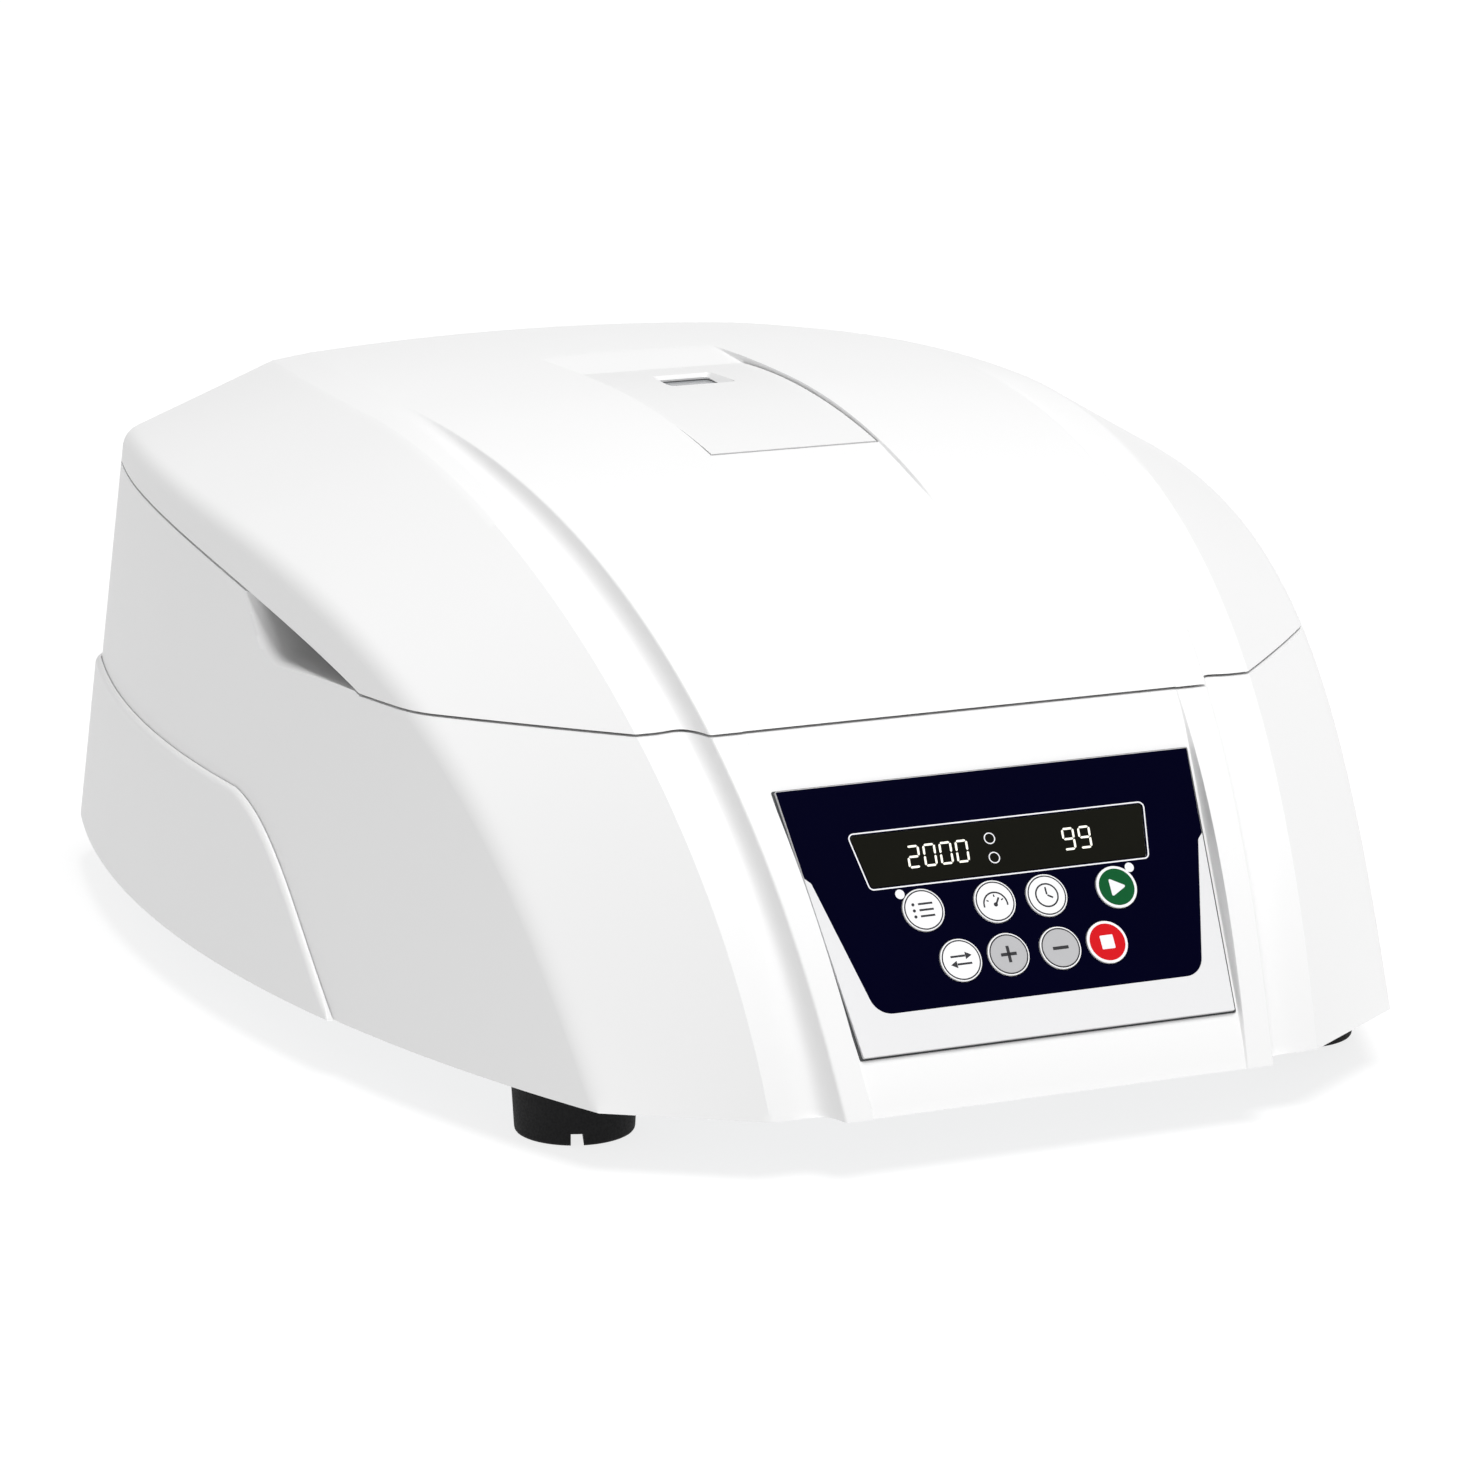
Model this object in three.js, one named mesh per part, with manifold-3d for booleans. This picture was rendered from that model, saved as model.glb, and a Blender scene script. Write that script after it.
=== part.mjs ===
// A bench cytocentrifuge: a moulded body with a clamshell lid, a sloping control panel,
// and a swing-out slide rotor in a steel chamber.
// Millimetres. +X is the right of someone at the panel, +Y the back, +Z up.
// The origin is under the middle of the machine, on the bench.
import * as THREE from "three";
import { mergeVertices } from "three/addons/utils/BufferGeometryUtils.js";
import Module from "manifold-3d";

const wasm = await Module();
wasm.setup();

// Overall body
const footHeight = 22;
const bodyHalfWidth = 222.5;
const sideArcRadius = 732; // the sides bow out along one long arc in plan
const widestY = 67;
const rearCornerRadius = 40;
const draftAngle = 7; // degrees that every wall leans in
const wall = 3;
const edgeRound = 6;
const fitGap = 0.3; // between pieces that touch
const overrun = 5; // how far a cutter runs past what it cuts
const ceilingZ = 300; // above everything

// Raised centre band, the groove beside it and the side crease, as curves from foot to top
const bandFootX = 85;
const bandFootY = -275;
const bandFootAngle = 66.9;
const bandFootReach = 161.7;
const bandTopReach = 150.2;
const bandTopSlope = 1.35;
const bandTopX = 121;
const bandTopZ = 222;
const bandPullX = 98.6; // where the band edge is drawn to on its way up
const bandTopPullX = 116.6;
const bandRearX = 90;
const bandRearZ = 209.7;
const grooveFootX = 108.9;
const grooveFootY = -264;
const grooveFootAngle = 70.7;
const grooveFootReach = 121;
const grooveTopReach = 162.8;
const grooveTopSlope = 0.69;
const grooveTopX = 138;
const grooveTopZ = 220.1;
const groovePullX = 115.3;
const grooveTopPullX = 142.8;
const grooveRearX = 106;
const grooveRearZ = 207.8;
const creaseFootY = -230;
const creaseFootAngle = 57.7;
const creaseFootReach = 106.9;
const creaseTopReach = 167.3;
const creaseTopSlope = 3.53;
const creaseTopZ = 185.2;
const creaseRearZ = 184;
const topY = 50; // where the front curves end and the flatter top begins
const crownHeight = 4; // how much the band arches from side to side on top
const grooveLean = 1; // how far the band's edge wall leans out over its drop
const grooveFadeFrontY = -40; // the step beside the band fades out between these two
const grooveFadeRearY = 75;

// Parting line between the lid and the body
const partingGap = 1;
const partingFrontZ = 143.2;
const partingKneeY = -80;
const partingRise = 0.33; // slope just behind the knee
const partingRearY = 175;
const partingRearZ = 174;

// Finger recess under each side of the lid
const fingerFrontY = -82;
const fingerRearY = -13; // where its floor starts to rise
const fingerEndY = 14;
const fingerFloorZ = 144;
const fingerRampY = -3;
const fingerRampZ = 149;
const fingerEndZ = 165.5;
const fingerWall = 4; // between its inner wall and the well

// Lower rear cover, standing proud of the body
const coverProud = 2.8;
const coverTopZ = 90;
const coverFootY = -86; // its front edge climbs from here in an S
const coverFootPullY = -52;
const coverFootPullZ = 55;
const coverTopPullY = -28;
const coverTopPullZ = 86;
const coverTopY = 8;
const ventCount = 5;
const ventPitch = 12;
const ventWidth = 4;
const ventLength = 34;
const ventLow = 24;

// Base and feet
const baseThickness = 3;
const footTopRadius = 23;
const footBottomRadius = 21.8;
const footEdge = 1.5;
const footSlot = 4.7;
const footSlotTurn = -19.4; // degrees that the slot under each foot is turned from front to back
const footInset = 74.5; // from the widest point of the side
const footFrontInset = 51.5; // from the foot of the front crease
const footRearInset = 60.2;

// Control panel, set on a slope: distances across, up the slope and out of it
const panelY = -236.9;
const panelZ = 83.4;
const panelSlope = 34.16; // degrees back from upright
const panelLow = 50.6;
const panelTopHalf = 82.6;
const panelFootHalf = 73.7;
const panelThickness = 3.7;
const panelProud = 1;
const panelSlotGap = 1;
const panelLedge = 6;
const recessLow = 62;
const recessHigh = 66;
const recessFootHalf = 74.9;
const recessTopHalf = 86.3;
const filmThickness = 0.6;
const filmFoot = -35.8;
const filmBend = 16.5;
const filmBendHalf = 78.2;
const filmFootHalf = 60;
const filmCorner = 6;
const filmTop = 50;
const windowTop = 31;
const windowFoot = 10.8;
const windowTopHalf = 58.7;
const windowFootHalf = 55;
const lensThickness = 3;
const displayDepth = 4;
const displayMargin = 1;
const keyRadius = 8;
const keyProud = 0.5;
const keyTravel = 0.6;
const keySlack = 0.1; // left over the board when a key is pressed home
const programX = -37.4;
const speedX = -9.2;
const timeX = 11.5;
const startX = 39.7;
const unitsX = -27.9;
const plusX = -9.1;
const minusX = 11.6;
const stopX = 30.4;
const keyFlange = 1;
const keyFlangeThickness = 1;
const plungerRadius = 3;
const keyTopRow = 0.5;
const keyFootRow = -19.6;
const boardThickness = 1.6;
const boardHalf = 66;
const boardFoot = -32;
const boardTop = 40;
const standoffRadius = 3;
const standoffX = 62;
const standoffTop = 36;
const standoffFoot = -26;

// Window plate on top of the lid, lying almost level and bowed up along its length
const plateZ = 218.8;
const plateSlope = 3.87;
const plateBow = 4.2;
const plateHalfLength = 67.3;
const plateRearHalf = 37.2;
const plateFrontHalf = 34.7;
const plateThickness = 2.4;
const plateProud = 0.4;
const plateSlotGap = 0.5;
const plateSideGap = 0.9;
const dipRampAngle = 15; // the hollow round the plate runs out to the front at this slope
const dipRampLength = 52;
const dipRearAngle = 0;
const dipRearLength = 40;
const portHalfWidth = 13.5;
const portHalfLength = 12;
const portX = 1.5;
const portY = 37.1; // the port lies over the rotor axis, this far up the plate
const portBevel = 3;
const paneMargin = 4;
const paneThickness = 2;

// Chamber, rotor and motor, all round one upright axis that the lock and the guard ring place
const deckZ = 138;
const bowlRadius = 149;
const bowlThickness = 1.5;
const bowlFlange = 12;
const wellMargin = 11; // room round the flange in the housing
const rearRoom = 37.2; // from the well to the foot of the rear wall
const bowlFloorZ = 66;
const bowlDomeRadius = 44.5;
const bowlDomeZ = 101;
const bowlHoleRadius = 8;
const deckHoleGap = 0.8;
const sealWidth = 6;
const sealHeight = 3.2;
const guardGap = 7.5; // between the bowl and the guard ring
const guardThickness = 3;
const bushHeight = 17.7;
const bushRadius = 8;
const bushCircle = 60;
const bushCount = 3;
const bracketThickness = 4;
const bracketRadius = 74;
const motorRadius = 38;
const motorHeight = 49.4;
const shaftRadius = 5;
const shaftSocket = 30; // how far the shaft runs down into the motor
const discRadius = 122;
const discFootZ = 128;
const discThickness = 8;
const hubRadius = 16;
const hubDepth = 10;
const notchCount = 12;
const notchHalf = 14;
const notchInner = 84;
const shaftStub = 3; // how far the shaft stands above the disc
const knobWaist = 9;
const knobRadius = 14;
const knobFootRadius = 13;
const knobHeight = 22;

// Slide clip and sample funnel, told by distance from the axis
const carrierCount = 6;
const clipBack = 104;
const clipThickness = 3;
const clipHalf = 13.2;
const clipFootZ = 86;
const clipTopZ = 164;
const clipFlange = 6;
const clipFlangeThickness = 1;
const pinRadius = 1.5;
const pinReach = 4.8;
const funnelPlate = 3.2;
const funnelHalf = 11.5;
const funnelFootZ = 94;
const funnelTopZ = 158;
const cupRadius = 6.5;
const cupWall = 1.3;
const cupFootZ = 122;
const cupLength = 36;
const spoutHalf = 4;
const spoutDrop = 10;

// Lid liner, hook and lock
const linerFlangeZ = 143.8;
const linerThickness = 1.8;
const linerRim = 1; // how far its flange starts outside the bowl's inner wall
const linerTaper = 26; // how much narrower it is at the top
const linerTopZ = 180;
const linerPortRadius = 16;
const linerPostRadius = 5;
const linerPostReach = 60;
const hookInset = 110; // behind the foot of the centre band
const hookReach = 19; // how far it hangs in front of the lock's pivot
const hookThickness = 4;
const hookHalf = 14;
const hookFootZ = 112;
const hookWindowFootZ = 117;
const hookWindowTopZ = 131;
const hookWindowHalf = 9.5;
const hookSlotFront = 6;
const hookSlotRear = 3;
const lockGuardGap = 13; // from the guard ring to the back of the lock
const lockZ = 112;
const lockPin = 2;
const lockHalf = 12;
const lockCheek = 2;
const lockReach = 11;
const lockPlate = 2;
const pawlHalf = 8;
const pawlWidth = 4.5;
const pawlHeight = 21;
const pawlNoseReach = 15.5;
const pawlNoseFoot = 10;
const pawlNoseTop = 16;
const solenoidLength = 24;
const solenoidHeight = 26;
const boreGap = 0.3;

// Rear hinges, inlet and switch, told on the leaning rear wall: across, out and up
const hingeX = 110;
const hingeRadius = 5;
const hingePin = 2;
const hingeHalf = 12;
const hingeLeaf = 2;
const hingeLeafStart = 7;
const hingeLeafLength = 19;
const hingeWallGap = 0.42;
const inletX = 62;
const inletUp = 40;
const inletHalfWidth = 13.8;
const inletHalfHeight = 10;
const inletFlange = 2.6;
const inletFlangeThickness = 2;
const inletDepth = 20;
const socketHalfWidth = 12.2;
const socketHalfHeight = 8.4;
const socketDepth = 17;
const socketCorner = 3;
const bladeLength = 10;
const bladeHalf = 1;
const bladeHeight = 2.5;
const bladeSpread = 7;
const switchX = -62;
const switchHalfWidth = 9.5;
const switchHalfHeight = 13.7;
const switchWall = 2.3;
const switchDepth = 18;
const rockerDepth = 9;
const rockerTilt = 8;
const rockerHalfWidth = 6.8;
const rockerHalfHeight = 10.2;
const rockerPin = 1.2;
const rockerPivot = 1.5;
const rockerCrown = 5.2;
const rockerSaddle = 3.4;
const rockerEdge = 2.7;
const rockerKeel = 5;

// Power board on the base
const supplyHalfWidth = 62;
const supplyLength = 62;
const supplyGuardGap = 28;
const supplyLift = 6;
const supplyPost = 3;
const supplyInset = 6;
const coilHalf = 18;
const coilHeight = 26;
const sinkHeight = 32;
const sinkThickness = 4;

// How finely round and curved things are cut into flats
const frontSteps = 12;
const rearSteps = 4;
const cornerSteps = 4;
const bowlSides = 36;
const roundSides = 16;
const pinSides = 8;
const cornerCuts = 2; // steps round a small corner
const sideCuts = 10; // steps along a curve that is seen from the side
const weldDistance = 0.001;
const sliver = 0.01; // edges shorter than this are closed up

// Places that follow: the hook hangs behind the front, the lock behind it, then the guard ring,
// the rotor axis and the rear wall
const hookY = bandFootY + hookInset;
const lockY = hookY + hookReach;
const guardFrontY = lockY + lockReach + solenoidLength + lockGuardGap;
const guardRadius = bowlRadius + bowlThickness + guardGap;
const axisY = guardFrontY + guardThickness + guardRadius;
const wellRadius = bowlRadius + bowlFlange + wellMargin;
const rearY = axisY + wellRadius + rearRoom;
const plateY = axisY - portY;
const linerInner = bowlRadius + linerRim;
const linerOuter = bowlRadius + bowlFlange;
const linerTopRadius = linerInner - linerTaper;
const fingerHalfSpan = wellRadius + fingerWall;
const supplyRearY = guardFrontY - supplyGuardGap;
const supplyFrontY = supplyRearY - supplyLength;

const radians = THREE.MathUtils.degToRad;
const draft = Math.tan(radians(draftAngle));
const arcCentreX = bodyHalfWidth - sideArcRadius;
const cornerY = rearY - rearCornerRadius;
const cornerSwing = Math.asin((cornerY - widestY) / (sideArcRadius - rearCornerRadius));
const cornerX = arcCentreX + (sideArcRadius - rearCornerRadius) * Math.cos(cornerSwing);

// Materials
const finish = (color, roughness, metalness) =>
  new THREE.MeshStandardMaterial({ color, roughness, metalness });
const whiteShell = finish(0xf3f3f2, 0.42, 0);
const whiteTrim = finish(0xf7f7f6, 0.35, 0);
const greyPlastic = finish(0xbdbdbf, 0.45, 0);
const blackPlastic = finish(0x1d1d1f, 0.5, 0);
const blackRubber = finish(0x232323, 0.85, 0);
const sealRubber = finish(0x3a3b3d, 0.8, 0);
const navyFilm = finish(0x03031c, 0.3, 0);
const displayBlack = finish(0x1c1c16, 0.12, 0);
const smokedPane = finish(0x8d9093, 0.1, 0);
const keyWhite = finish(0xf4f4f4, 0.4, 0);
const keyGreen = finish(0x0b6b3a, 0.4, 0);
const keyRed = finish(0xe01f26, 0.4, 0);
const steel = finish(0xc2c5c8, 0.3, 1);
const zincSteel = finish(0xa9adb2, 0.45, 1);
const aluminium = finish(0xb9bcc0, 0.35, 1);
const boardGreen = finish(0x1d5a37, 0.55, 0);
const funnelPlastic = finish(0xe9ecec, 0.35, 0);

const machine = new THREE.Group();

// A closed three.js geometry as a solid that can be cut and joined.
function solidOf(geometry) {
  const loose = geometry.index ? geometry.toNonIndexed() : geometry;
  const bare = new THREE.BufferGeometry().setAttribute("position", loose.getAttribute("position"));
  const merged = mergeVertices(bare, weldDistance);
  const corners = [];
  for (let i = 0; i < merged.index.count; i += 3) {
    const [a, b, c] = [0, 1, 2].map((k) => merged.index.getX(i + k));
    if (a !== b && b !== c && c !== a) corners.push(a, b, c);
  }
  return new wasm.Manifold(
    new wasm.Mesh({
      numProp: 3,
      vertProperties: merged.attributes.position.array,
      triVerts: new Uint32Array(corners),
    }),
  );
}

// The triangles of a solid as a three.js geometry.
function geometryOf(solid) {
  const mesh = solid.simplify(sliver).getMesh();
  const positions = new Float32Array(mesh.numVert * 3);
  for (let i = 0; i < mesh.numVert; i++)
    positions.set(mesh.vertProperties.subarray(i * mesh.numProp, i * mesh.numProp + 3), i * 3);
  const geometry = new THREE.BufferGeometry()
    .setAttribute("position", new THREE.BufferAttribute(positions, 3))
    .setIndex(new THREE.BufferAttribute(mesh.triVerts, 1))
    .toNonIndexed();
  geometry.computeVertexNormals();
  return geometry;
}

const moved = (solid, matrix) => solidOf(geometryOf(solid).applyMatrix4(matrix));
const joined = (solids) => solids.reduce((sum, next) => sum.add(next));
const cutBy = (solid, tools) => tools.reduce((rest, tool) => rest.subtract(tool), solid);

// A box between two corners.
function block(lowX, highX, lowY, highY, lowZ, highZ) {
  const box = new THREE.BoxGeometry(highX - lowX, highY - lowY, highZ - lowZ);
  return solidOf(box.translate((lowX + highX) / 2, (lowY + highY) / 2, (lowZ + highZ) / 2));
}

// A solid of revolution about +Z; the profile runs anticlockwise as [radius, height].
function turned(profile, sides = roundSides, x = 0, y = 0) {
  const points = [...profile, profile[0]].map(([r, z]) => new THREE.Vector2(r, z));
  return solidOf(new THREE.LatheGeometry(points, sides).rotateX(Math.PI / 2).translate(x, y, 0));
}

const post = (radius, lowZ, highZ, x = 0, y = 0, sides = roundSides) =>
  turned([[0, lowZ], [radius, lowZ], [radius, highZ], [0, highZ]], sides, x, y);

const ring = (inner, outer, lowZ, highZ, x = 0, y = 0, sides = bowlSides) =>
  turned([[inner, lowZ], [outer, lowZ], [outer, highZ], [inner, highZ]], sides, x, y);

// An outline in X and Y, raised from one height to another.
function raised(shape, lowZ, highZ, curveSegments = cornerCuts) {
  const settings = { depth: highZ - lowZ, bevelEnabled: false, curveSegments };
  return solidOf(new THREE.ExtrudeGeometry(shape, settings).translate(0, 0, lowZ));
}

// An outline in Y and Z, carried from one X to another.
const ontoSide = new THREE.Matrix4().makeBasis(
  new THREE.Vector3(0, 1, 0),
  new THREE.Vector3(0, 0, 1),
  new THREE.Vector3(1, 0, 0),
);
function carried(shape, lowX, highX, curveSegments = sideCuts) {
  const settings = { depth: highX - lowX, bevelEnabled: false, curveSegments };
  const geometry = new THREE.ExtrudeGeometry(shape, settings).translate(0, 0, lowX);
  return solidOf(geometry.applyMatrix4(ontoSide));
}

// A straight round bar along X.
const crossBar = (radius, lowX, highX, y, z, sides = roundSides) =>
  moved(post(radius, lowX, highX, y, z, sides), ontoSide);

const outlineOf = (points) => new THREE.Shape(points.map(([x, y]) => new THREE.Vector2(x, y)));

// A rectangle with round corners, as an outline.
function roundedBox(lowX, highX, lowY, highY, radius) {
  const shape = new THREE.Shape();
  shape.moveTo(lowX + radius, lowY);
  shape.lineTo(highX - radius, lowY);
  shape.absarc(highX - radius, lowY + radius, radius, -Math.PI / 2, 0);
  shape.lineTo(highX, highY - radius);
  shape.absarc(highX - radius, highY - radius, radius, 0, Math.PI / 2);
  shape.lineTo(lowX + radius, highY);
  shape.absarc(lowX + radius, highY - radius, radius, Math.PI / 2, Math.PI);
  shape.lineTo(lowX, lowY + radius);
  shape.absarc(lowX + radius, lowY + radius, radius, Math.PI, Math.PI * 1.5);
  return shape;
}

function piece(name, solid, material, parent = machine) {
  const mesh = new THREE.Mesh(geometryOf(solid), material);
  mesh.name = name;
  parent.add(mesh);
  return mesh;
}

// Body surface

// A side-view curve with its X: foot point, rise angle and reach, then top point, slope and reach.
function risingCurve(foot, angle, reach, top, slope, topReach, footPullX, topPullX) {
  const a = radians(angle);
  const s = radians(slope);
  return new THREE.CubicBezierCurve3(
    foot,
    new THREE.Vector3(footPullX, foot.y + reach * Math.cos(a), foot.z + reach * Math.sin(a)),
    new THREE.Vector3(topPullX, top.y - topReach * Math.cos(s), top.z - topReach * Math.sin(s)),
    top,
  );
}
const bandCurve = risingCurve(
  new THREE.Vector3(bandFootX, bandFootY, footHeight), bandFootAngle, bandFootReach,
  new THREE.Vector3(bandTopX, topY, bandTopZ), bandTopSlope, bandTopReach, bandPullX, bandTopPullX,
);
const grooveCurve = risingCurve(
  new THREE.Vector3(grooveFootX, grooveFootY, footHeight), grooveFootAngle, grooveFootReach,
  new THREE.Vector3(grooveTopX, topY, grooveTopZ), grooveTopSlope, grooveTopReach,
  groovePullX, grooveTopPullX,
);
const creaseCurve = risingCurve(
  new THREE.Vector3(0, creaseFootY, footHeight), creaseFootAngle, creaseFootReach,
  new THREE.Vector3(0, topY, creaseTopZ), creaseTopSlope, creaseTopReach, 0, 0,
);

// Behind topY each line keeps its slope and then bends down steadily to its rear height.
function rearHeight(y, topZ, slope, rearZ) {
  const run = rearY - topY;
  const along = y - topY;
  const rise = Math.tan(radians(slope));
  return topZ + rise * along - (rise * run + topZ - rearZ) * (along / run) ** 2;
}
const lineX = (y, topX, rearX) => topX + (rearX - topX) * ((y - topY) / (rearY - topY)) ** 2;

// The plan outline at one height: the point at a given Y, and the wall's foot straight below it.
function outlineAt(y, z, inset, baseZ) {
  const lean = (z - footHeight) * draft + inset;
  const arc = sideArcRadius - lean;
  const corner = rearCornerRadius - lean;
  const footLean = (baseZ - footHeight) * draft + inset;
  if (y <= widestY + arc * Math.sin(cornerSwing)) {
    const swing = Math.asin((y - widestY) / arc);
    const foot = sideArcRadius - footLean;
    return [
      new THREE.Vector3(arcCentreX + arc * Math.cos(swing), y, z),
      new THREE.Vector3(arcCentreX + foot * Math.cos(swing), widestY + foot * Math.sin(swing), baseZ),
    ];
  }
  const swing = Math.asin(Math.min(1, (y - cornerY) / corner));
  const foot = rearCornerRadius - footLean;
  return [
    new THREE.Vector3(cornerX + corner * Math.cos(swing), y, z),
    new THREE.Vector3(cornerX + foot * Math.cos(swing), cornerY + foot * Math.sin(swing), baseZ),
  ];
}

// How far a round edge has dropped at a distance short of the wall that it turns into.
const roundDrop = (shy) => edgeRound - Math.sqrt(edgeRound ** 2 - (edgeRound - shy) ** 2);

// The band edge, groove and crease points of every cross row, front to back.
function stations(inset, baseZ) {
  const rows = [];
  for (let k = 0; k <= frontSteps; k++) {
    const u = k / frontSteps;
    const row = [bandCurve, grooveCurve, creaseCurve].map((curve) => {
      const point = curve.getPointAt(u);
      const along = curve.getTangentAt(u).setX(0).normalize();
      const inward = new THREE.Vector3(0, along.z, -along.y);
      point.addScaledVector(inward, inset);
      if (k === 0) point.addScaledVector(along, (baseZ - point.z) / along.z);
      return { point, inward };
    });
    rows.push(row);
  }
  const places = [];
  for (let k = 1; k <= rearSteps; k++) places.push({ straight: k / rearSteps });
  for (let k = 1; k <= cornerSteps; k++) {
    const swing = cornerSwing + ((Math.PI / 2 - cornerSwing) * k) / cornerSteps;
    places.push({ sine: k === cornerSteps ? 1 : Math.sin(swing) });
  }
  const lines = [
    [bandTopX, bandRearX, bandTopZ, bandTopSlope, bandRearZ],
    [grooveTopX, grooveRearX, grooveTopZ, grooveTopSlope, grooveRearZ],
    [0, 0, creaseTopZ, creaseTopSlope, creaseRearZ],
  ];
  for (const { straight, sine } of places) {
    rows.push(
      lines.map(([topX, rearX, topZ, slope, rearZ]) => {
        let y = rearY;
        let z = rearZ;
        for (let pass = 0; pass < 3; pass++) {
          const corner = rearCornerRadius - (z - footHeight) * draft - inset;
          const shy = sine ? Math.min(edgeRound, corner * (1 - sine)) : edgeRound;
          y = sine
            ? cornerY + corner * sine
            : topY + (cornerY + corner * Math.sin(cornerSwing) - topY) * straight;
          z = rearHeight(y, topZ, slope, rearZ) - inset - roundDrop(shy);
        }
        const point = new THREE.Vector3(lineX(y, topX, rearX), y, z);
        return { point, inward: new THREE.Vector3(0, 0, -1) };
      }),
    );
  }
  return rows;
}

const ease = (low, high, value) => THREE.MathUtils.smoothstep(value, low, high);
const mix = (a, b, share) => new THREE.Vector3().lerpVectors(a, b, share);
const bandShares = [0, 0.45, 0.86, 1]; // where the band's columns stand across its half width
const grooveShares = [0.33, 0.67];

// One half row of the skin, from the centre line out to the side wall, and the wall's foot.
function halfRow([band, groove, crease], inset, baseZ) {
  const edge = band.point.clone();
  const floor = groove.point.clone();
  edge.x -= inset;
  floor.x -= inset / 2;
  const [side, foot] = outlineAt(crease.point.y, crease.point.z, inset, baseZ);
  const step = 1 - ease(grooveFadeFrontY, grooveFadeRearY, edge.y);
  const crown = crownHeight * ease(bandFootY / 2, topY, edge.y);
  const row = bandShares.map((share) =>
    new THREE.Vector3(edge.x * share, edge.y, edge.z)
      .addScaledVector(band.inward, -crown * (1 - share ** 2)));
  const stepFoot = new THREE.Vector3(edge.x + grooveLean, floor.y, floor.z);
  const corner = mix(mix(edge, floor, 0.5), stepFoot, step);
  const sweep = new THREE.QuadraticBezierCurve3(edge, corner, floor);
  row.push(...grooveShares.map((share) => sweep.getPoint(share)), floor);
  const inner = mix(side, floor, edgeRound / side.distanceTo(floor));
  const lowered = Math.max(side.z - edgeRound, baseZ);
  const outer = mix(foot, side, (lowered - baseZ) / Math.max(side.z - baseZ, weldDistance));
  const middle = mix(mix(inner, outer, 0.5), side, 0.5);
  row.push(mix(floor, inner, 0.5), inner, middle, outer);
  row.forEach((point) => (point.z = Math.max(point.z, baseZ)));
  return { row, foot };
}

// The whole closed body, or one smaller by an inset, standing on baseZ.
function bodyBlock(inset, baseZ) {
  const halves = stations(inset, baseZ).map((station) => halfRow(station, inset, baseZ));
  const mirror = (point) => new THREE.Vector3(-point.x, point.y, point.z);
  const rows = halves.map(({ row }) => [...row.slice(1).reverse().map(mirror), ...row]);
  const points = [];
  const triangle = (a, b, c) => points.push(a, b, c);
  const quad = (a, b, c, d) => {
    triangle(a, b, c);
    triangle(a, c, d);
  };
  const last = rows.length - 1;
  const across = rows[0].length - 1;
  for (let k = 0; k < last; k++) {
    for (let j = 0; j < across; j++) quad(rows[k][j], rows[k][j + 1], rows[k + 1][j + 1], rows[k + 1][j]);
    const [near, far] = [halves[k], halves[k + 1]].map(({ foot }) => foot);
    quad(near, far, rows[k + 1][across], rows[k][across]);
    quad(mirror(far), mirror(near), rows[k][0], rows[k + 1][0]);
  }
  const rearFootY = rearY - inset - (baseZ - footHeight) * draft;
  const rear = rows[last].map((point) => new THREE.Vector3(point.x, rearFootY, baseZ));
  rear[0] = mirror(halves[last].foot);
  rear[across] = halves[last].foot;
  for (let j = 0; j < across; j++) quad(rear[j], rows[last][j], rows[last][j + 1], rear[j + 1]);
  const rightFeet = halves.map(({ foot }) => foot);
  rightFeet[0] = rows[0][across];
  const rim = [
    ...rows[0].slice(1, -1),
    ...rightFeet.slice(0, -1),
    ...rear.slice().reverse(),
    ...rightFeet.slice(0, -1).map(mirror).reverse(),
  ];
  const middle = new THREE.Vector3(0, widestY, baseZ);
  rim.forEach((point, k) => triangle(middle, rim[(k + 1) % rim.length], point));
  return solidOf(new THREE.BufferGeometry().setFromPoints(points));
}

// Everything above the parting line, raised by a lift, as far as a ceiling.
const farX = bodyHalfWidth + overrun;
function abovePart(lift) {
  const shape = new THREE.Shape();
  shape.moveTo(bandFootY - overrun, partingFrontZ + lift);
  shape.lineTo(partingKneeY, partingFrontZ + lift);
  const kneeReach = (partingRearZ - partingFrontZ) / partingRise;
  shape.quadraticCurveTo(
    partingKneeY + kneeReach, partingRearZ + lift, partingRearY, partingRearZ + lift);
  shape.lineTo(rearY + overrun, partingRearZ + lift);
  shape.lineTo(rearY + overrun, ceilingZ);
  shape.lineTo(bandFootY - overrun, ceilingZ);
  return carried(shape, -farX, farX);
}

// Local frames: the slope of the control panel, the lid plate and the rear wall
const leaning = (y, z, degrees) =>
  new THREE.Matrix4()
    .makeTranslation(0, y, z)
    .multiply(new THREE.Matrix4().makeRotationX(radians(degrees)));
// In the panel frame X runs across, Y up the slope and Z out of it.
const panelFrame = leaning(panelY, panelZ, 90 - panelSlope);
const plateFrame = leaning(plateY, plateZ, plateSlope);
// In the rear frame X runs across, Y out of the wall and Z up it.
const rearFrame = leaning(rearY, footHeight, draftAngle);
const rimTopZ = partingRearZ;

// A four-sided outline that is wider at one end, grown sideways and lengthways.
const taper = (lowHalf, highHalf, low, high) =>
  outlineOf([[-lowHalf, low], [lowHalf, low], [highHalf, high], [-highHalf, high]]);

// Shell of the body and what is cut from it
const outerBody = bodyBlock(0, footHeight);
const innerBody = bodyBlock(wall, footHeight - overrun);

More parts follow.
